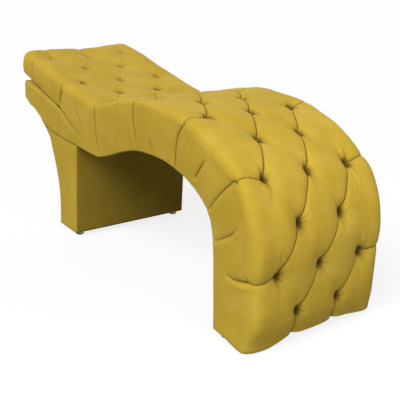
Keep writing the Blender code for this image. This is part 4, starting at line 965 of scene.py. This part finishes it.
def node_group(name, inputs, outputs):
    """An empty node group, its input sockets by name, and its output node.

    Inputs are names with a default value, or with None for a vector, and outputs are values.
    """
    tree = bpy.data.node_groups.new(name, "ShaderNodeTree")
    for word, value in inputs.items():
        kind = "NodeSocketVector" if value is None else "NodeSocketFloat"
        socket = tree.interface.new_socket(word, in_out="INPUT", socket_type=kind)
        if value is not None:
            socket.default_value = value
    for word in outputs:
        tree.interface.new_socket(word, in_out="OUTPUT", socket_type="NodeSocketFloat")
    return tree, tree.nodes.new("NodeGroupInput").outputs, tree.nodes.new("NodeGroupOutput")


# Wrinkles that fan out from each button: waves round the nearest crossing of the diagonals, and
# masks of painted shade in each pit and the hollow round it. Rows and columns of the tufting past
# these limits have none.
WRINKLE_COUNTS, WRINKLE_RING, WRINKLE_WIDTH = (13.0, 7.0), 0.019, 0.013
LAST_COLUMN, MIDDLE_ROW, ROWS_FROM_MIDDLE = 2.45, 4.5, 6.9
PIT_SHADE_AREA, HOLLOW_SHADE_AREA, SHARE_PER_ROW, SHARE_AT_HINGE = 0.00027, 0.00062, 0.14, 0.45
wrinkles, given, wrinkles_out = node_group(
    "tuft_wrinkles", {"Row": 1.0, "Column": 1.0, "Unevenness": 0.0}, ("Height", "Pit shade", "Hollow shade"))
do = partial(maths, wrinkles)
half_sum = do("MULTIPLY", do("ADD", given["Row"], given["Column"]), 0.5)
half_gap = do("MULTIPLY", do("SUBTRACT", given["Row"], given["Column"]), 0.5)
whole_sum, whole_gap = do("ROUND", half_sum), do("ROUND", half_gap)
off_sum, off_gap = do("SUBTRACT", half_sum, whole_sum), do("SUBTRACT", half_gap, whole_gap)
down = do("MULTIPLY", do("ADD", off_sum, off_gap), ROW_SPACING)
beside = do("MULTIPLY", do("SUBTRACT", off_sum, off_gap), COLUMN_SPACING)
beside_square = do("MULTIPLY", beside, beside)
away = do("SQRT", do("MULTIPLY_ADD", down, down, beside_square))
short_down = do("DIVIDE", down, HOLE_STRETCH)
oval = do("MULTIPLY_ADD", short_down, short_down, beside_square)
turned = do("ADD", do("ARCTAN2", down, beside), total(
    wrinkles, (given["Unevenness"], 1.6), (whole_sum, 0.7), (whole_gap, 1.9)))
wave = do("ADD", *(do("SINE", do("MULTIPLY", turned, count)) for count in WRINKLE_COUNTS))
ring = bell_shade(wrinkles, do("SUBTRACT", away, WRINKLE_RING), WRINKLE_WIDTH)
from_middle = do("ABSOLUTE", do("SUBTRACT", given["Row"], MIDDLE_ROW))
on_tufts = do("MULTIPLY", do("LESS_THAN", do("ABSOLUTE", given["Column"]), LAST_COLUMN),
              do("LESS_THAN", from_middle, ROWS_FROM_MIDDLE))
wrinkles.links.new(do("MULTIPLY", do("MULTIPLY", wave, ring), on_tufts),
                   wrinkles_out.inputs["Height"])
# Masks of painted shade in each pit and the hollow round it, fainter towards the head
depth_share = add(
    wrinkles, "ShaderNodeMath", {0: given["Row"], 1: SHARE_PER_ROW, 2: SHARE_AT_HINGE},
    operation="MULTIPLY_ADD", use_clamp=True).outputs[0]
on_tufts = do("MULTIPLY", on_tufts, depth_share)
for word, area in (("Pit shade", PIT_SHADE_AREA), ("Hollow shade", HOLLOW_SHADE_AREA)):
    wrinkles.links.new(do("MULTIPLY", bell_shade(wrinkles, oval, area), on_tufts),
                       wrinkles_out.inputs[word])

# Nap: fine fibres, threads of the backing that show through, and brushed patches
nap, given, nap_out = node_group("suede_nap", {"Place": None}, ("Fibre", "Thread", "Brushed"))
for word, value in (
        ("Fibre", noise(nap, given["Place"], 620.0, 3.0, Roughness=0.65)),
        ("Thread", noise(nap, stretched(nap, given["Place"], (340.0, 340.0, 28.0)), 1.0, 2.0)),
        ("Brushed", noise(nap, given["Place"], 6.0, 3.0, Roughness=0.55, Distortion=0.8))):
    nap.links.new(value, nap_out.inputs[word])

SUEDE = (0.590, 0.398, 0.040)
SUEDE_PALE = (0.670, 0.470, 0.092)
SUEDE_DARK = (0.465, 0.308, 0.024)
# The near-black brown that the tufted suede mixes in as painted shade in folds and pits
SUEDE_PAINTED_SHADE = (0.052, 0.029, 0.002)
PAINTED_LINE_SHADE_WIDTH, SHADOW_WIDTH = 0.0025, 0.0060


def suede_material(name, tufted, painted_shade_scale=1.0):
    """The suede, tucked and wrinkled where tufted, and darkened all over by a painted shade factor.

    Colour runs from dark to pale with the brushed patches and the fibres, then to a painted shade
    by a bell of the distance to a fold, and in the pits: shade painted into the creases and pits.
    Bumps add fibres, threads, folds and wrinkles.
    """
    material, tree, shader = principled(name, SUEDE, 0.86, specular=0.10)
    shader.inputs["Sheen Weight"].default_value = 0.17
    shader.inputs["Sheen Roughness"].default_value = 0.45
    shader.inputs["Sheen Tint"].default_value = (1.0, 0.80, 0.36, 1.0)
    do = partial(maths, tree)
    place = add(tree, "ShaderNodeTexCoord").outputs["Object"]
    cloth = add(tree, "ShaderNodeGroup", {"Place": place}, node_tree=nap).outputs
    shade = total(tree, (cloth["Brushed"], 0.35), (cloth["Fibre"], 0.30), (cloth["Thread"], 0.22))
    stops = (0.24, SUEDE_DARK), (0.435, SUEDE), (0.63, SUEDE_PALE)
    colour = ramp(tree, shade, *((stop, [painted_shade_scale * v for v in tone]) for stop, tone in stops))
    height = total(tree, (cloth["Fibre"], 0.30), (cloth["Thread"], 0.25))
    if tufted:
        fold, strength, row, column = (
            add(tree, "ShaderNodeAttribute", attribute_name=word).outputs["Fac"] for word in FIELDS)
        tufts = add(tree, "ShaderNodeGroup", {
            "Row": row, "Column": column, "Unevenness": noise(tree, place, 14.0, 1.0),
        }, node_tree=wrinkles).outputs
        # Painted shade along each fold, in a narrow line and a wider shadow, and in the pits
        line, shadow = (do("MULTIPLY", bell_shade(tree, fold, width), strength)
                        for width in (PAINTED_LINE_SHADE_WIDTH, SHADOW_WIDTH))
        deep = do("MULTIPLY", line, 0.95)
        for part, weight in ((tufts["Pit shade"], 0.94), (shadow, 0.30), (tufts["Hollow shade"], 0.34)):
            deep = do("MAXIMUM", deep, do("MULTIPLY", part, weight))
        colour = add(tree, "ShaderNodeMix", {0: deep, 6: colour, 7: (*SUEDE_PAINTED_SHADE, 1.0)},
                     data_type="RGBA").outputs[2]
        height = do("MULTIPLY_ADD", tufts["Height"], 1.7, height)
        height = do("MULTIPLY_ADD", line, -6.0, height)
    tree.links.new(colour, shader.inputs["Base Color"])
    bump(tree, shader, height, 1.0, 0.00035)
    return material


tufted_suede = suede_material("tufted_suede", True)
plain_suede = suede_material("plain_suede", False)
# The buttons' suede is darkened: a painted shade for the bottoms of their pits
button_suede_painted_shade = suede_material("button_suede_painted_shade", False, painted_shade_scale=0.55)
for piece, suede in ((tufted_cover, tufted_suede), (slab_cover, tufted_suede),
                     (pedestal_hood, plain_suede), (buttons_body, button_suede_painted_shade),
                     (buttons_head, button_suede_painted_shade)):
    piece.data.materials.append(suede)


# Frame and fittings: birch plywood panels, pine rails, zinc-plated ratchet hinges, chrome glides
# with black soles, their chrome darkened by a painted shade, and the dark cloth that lines the
# underside and the bottom of the head rest.
def wood_material(name, pale, dark, grain_scale, ring_scale, layers=None):
    """Wood: grain is noise stretched along the length, crossed by the waves of growth rings.

    Plywood has layers too: stripes across the sheet, on faces that don't look along its thickness.
    """
    material, tree, shader = principled(name, pale, 0.62, specular=0.3)
    do = partial(maths, tree)
    coordinates = add(tree, "ShaderNodeTexCoord").outputs
    place = coordinates["Object"]
    grain = noise(tree, stretched(tree, place, grain_scale), 1.0, 5.0, Roughness=0.6)
    rings = add(tree, "ShaderNodeTexWave", {
        "Vector": stretched(tree, place, ring_scale), "Scale": 1.0, "Distortion": 7.0,
        "Detail": 3.0, "Detail Scale": 0.6}).outputs["Fac"]
    shade = total(tree, (grain, 0.75), (rings, 0.35))
    if layers:
        axis, period = layers
        facing, across = (add(tree, "ShaderNodeSeparateXYZ", {0: vector}).outputs[axis]
                          for vector in (coordinates["Normal"], place))
        edge = do("LESS_THAN", do("ABSOLUTE", facing), 0.6)
        stripe = do("SINE", do("MULTIPLY", across, math.tau / (2 * period)))
        shade = do("MULTIPLY_ADD", do("MULTIPLY", stripe, 0.40), edge, shade)
    tree.links.new(ramp(tree, shade, (0.25, dark), (0.80, pale)), shader.inputs["Base Color"])
    bump(tree, shader, grain, 0.35, 0.0006)
    return material


def metal_material(name, colour, roughness, uneven, sole=0.0):
    """Plated metal: cells of the plating and fine scratches vary the roughness and the colour.

    Below the height sole the metal gives way to matt black plastic.
    """
    material, tree, shader = principled(name, colour, roughness, metallic=1.0)
    do = partial(maths, tree)
    place = add(tree, "ShaderNodeTexCoord").outputs["Object"]
    cells = add(tree, "ShaderNodeTexVoronoi", {"Vector": place, "Scale": 160.0}).outputs["Distance"]
    scratches = noise(tree, stretched(tree, place, (900.0, 60.0, 900.0)), 1.0, 2.0)
    shade = total(tree, (cells, 0.6), (scratches, 0.5))
    finish = ramp(tree, shade, (0.2, [0.86 * v for v in colour]), (0.8, colour))
    rough = do("MULTIPLY_ADD", shade, uneven, roughness - uneven / 2)
    if sole:
        height = add(tree, "ShaderNodeSeparateXYZ", {0: place}).outputs[2]
        low_down = do("LESS_THAN", height, sole)
        finish = add(tree, "ShaderNodeMix", {0: low_down, 6: finish, 7: (0.02, 0.02, 0.02, 1.0)},
                     data_type="RGBA").outputs[2]
        rough = do("MULTIPLY_ADD", low_down, 0.45, rough)
        tree.links.new(do("SUBTRACT", 1.0, low_down), shader.inputs["Metallic"])
    tree.links.new(finish, shader.inputs["Base Color"])
    tree.links.new(rough, shader.inputs["Roughness"])
    return material


def lining_material():
    """Plain woven lining: two crossed waves of threads, with uneven dye."""
    material, tree, shader = principled("lining_cloth", (0.115, 0.090, 0.022), 0.9, specular=0.15)
    do = partial(maths, tree)
    place = add(tree, "ShaderNodeTexCoord").outputs["Object"]
    x, y, z = add(tree, "ShaderNodeSeparateXYZ", {0: place}).outputs
    warp, weft = (do("SINE", do("MULTIPLY", value, 3900.0)) for value in (y, do("ADD", x, z)))
    weave = do("MULTIPLY", warp, weft)
    shade = do("MULTIPLY_ADD", weave, 0.12, noise(tree, place, 30.0, 4.0))
    colour = ramp(tree, shade, (0.3, (0.085, 0.065, 0.016)), (0.75, (0.150, 0.118, 0.030)))
    tree.links.new(colour, shader.inputs["Base Color"])
    bump(tree, shader, weave, 0.5, 0.0003)
    return material


BIRCH = (0.640, 0.480, 0.290), (0.430, 0.290, 0.150)
PINE = (0.720, 0.550, 0.340), (0.520, 0.330, 0.160)
PLY = 0.0014
birch_upright = wood_material(
    "birch_plywood_panel", *BIRCH, (9.0, 160.0, 90.0), (3.0, 3.0, 22.0), (1, PLY))
birch_flat = wood_material(
    "birch_plywood_board", *BIRCH, (90.0, 9.0, 160.0), (22.0, 3.0, 3.0), (2, PLY))
birch_front = wood_material(
    "birch_plywood_front", *BIRCH, (160.0, 9.0, 90.0), (3.0, 3.0, 22.0), (0, PLY))
pine_across = wood_material("pine_rail", *PINE, (120.0, 7.0, 120.0), (34.0, 2.0, 34.0))
pine_along = wood_material("pine_side_rail", *PINE, (7.0, 120.0, 120.0), (2.0, 34.0, 34.0))
zinc = metal_material("zinc_plated_steel", (0.62, 0.62, 0.59), 0.36, 0.18)
# The chrome is darker than plain chrome: a painted shade for the dark underside it reflects
chrome_painted_shade = metal_material("chrome_glide_painted_shade", (0.36, 0.36, 0.37), 0.16, 0.08, sole=0.009)
lining = lining_material()
finishes = {
    birch_upright: ("side_panel_", "pedestal_side_"),
    birch_flat: ("deck_board", "slab_board", "head_board", "pedestal_floor_board", "foot_board"),
    birch_front: ("pedestal_back_board", "pedestal_front_board"),
    pine_along: ("head_side_rail_",),
    lining: ("underside_board", "head_lining"),
    chrome_painted_shade: ("glide_",),
    zinc: ("pawl_", "stop_pin_", "hinge_base_", "hinge_swing_", "hinge_pawl_", "hinge_pivot_"),
}
for node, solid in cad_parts.items():
    looks = (look for look, starts in finishes.items() if node.startswith(starts))
    finish = next(looks, pine_across)
    if not solid.material_slots:
        solid.data.materials.append(finish)
    for held in solid.material_slots:
        held.material = finish


# Studio: a pale floor that the camera sees as white but for the shadow, and soft light from the
# left and above.
def seen_directly(tree):
    """1 for a ray from the camera, also by way of a gloss or through glass, and else 0."""
    rays = add(tree, "ShaderNodeLightPath").outputs
    seen = maths(tree, "MAXIMUM", rays["Is Camera Ray"], rays["Is Glossy Ray"])
    return maths(tree, "MAXIMUM", seen, rays["Is Transmission Ray"])


FLOOR_HALF = 60
floor_mesh = bpy.data.meshes.new("floor")
floor_mesh.from_pydata([(x * FLOOR_HALF, y * FLOOR_HALF, 0)
                        for x, y in ((-1, -1), (1, -1), (1, 1), (-1, 1))], [], [(0, 1, 2, 3)])
floor = placed("floor", floor_mesh)
floor_paint, floor_tree, floor_shader = principled(
    "floor_paint", (0.20, 0.20, 0.20), 0.9, specular=0.0)
floor_tree.links.new(seen_directly(floor_tree), floor_shader.inputs["Emission Strength"])
floor_shader.inputs["Emission Color"].default_value = (0.82, 0.82, 0.82, 1.0)
floor_mesh.materials.append(floor_paint)

SKY_LIGHT = 0.12
world = bpy.data.worlds.new("studio")
bpy.context.scene.world = world
world.use_nodes = True
sky = world.node_tree.nodes["Background"]
sky.inputs["Color"].default_value = (1.0, 1.0, 1.0, 1.0)
sky_strength = maths(world.node_tree, "MULTIPLY_ADD", seen_directly(world.node_tree),
                     1.0 - SKY_LIGHT, SKY_LIGHT)
world.node_tree.links.new(sky_strength, sky.inputs["Strength"])


def lamp(name, kind, energy, place, target=(0.0, 0.0, 0.0), **settings):
    """A lamp of a kind at a place, turned to face a target."""
    light = bpy.data.lights.new(name, kind)
    light.energy = energy
    for word, value in settings.items():
        setattr(light, word, value)
    obj = placed(name, light)
    obj.location = place
    obj.rotation_euler = (Vector(target) - obj.location).to_track_quat("-Z", "Y").to_euler()


lamp("key", "SUN", 2.64, (0.09, -0.69, 0.72), angle=math.radians(36))
lamp("fill", "SUN", 0.80, (-0.62, 0.64, 0.45), angle=math.radians(60))
lamp("soft_box", "AREA", 13.8, (2.30, -0.35, 1.20), (0.85, 0.0, 0.40), shape="DISK", size=1.2)

# Camera: the one fitted to the photograph, which looks at the bed from its foot end, a little above
AZIMUTH, ELEVATION, ROLL = math.radians(53.7535), math.radians(17.5302), math.radians(2.1965)
CAMERA_TARGET, CAMERA_DISTANCE = np.array([-0.00897, 0.0, 0.32225]), 2.79042
back = np.array([math.sin(AZIMUTH) * math.cos(ELEVATION), -math.cos(AZIMUTH) * math.cos(ELEVATION),
                 math.sin(ELEVATION)])
right = np.cross(-back, (0.0, 0.0, 1.0))
right = right / np.linalg.norm(right)
up = np.cross(right, -back)
camera_data = bpy.data.cameras.new("camera")
camera = placed("camera", camera_data)
matrix = np.eye(4)
matrix[:3, 0] = math.cos(ROLL) * right + math.sin(ROLL) * up
matrix[:3, 1] = -math.sin(ROLL) * right + math.cos(ROLL) * up
matrix[:3, 2] = back
matrix[:3, 3] = CAMERA_TARGET + back * CAMERA_DISTANCE
camera.matrix_world = Matrix(matrix.tolist())
camera_data.sensor_width = 36.0
camera_data.lens = 57.0
camera_data.shift_x = 0.0731
camera_data.shift_y = -0.0521
camera_data.clip_start, camera_data.clip_end = 0.05, 50.0
bpy.context.scene.camera = camera
bpy.context.scene.view_settings.view_transform = "Standard"
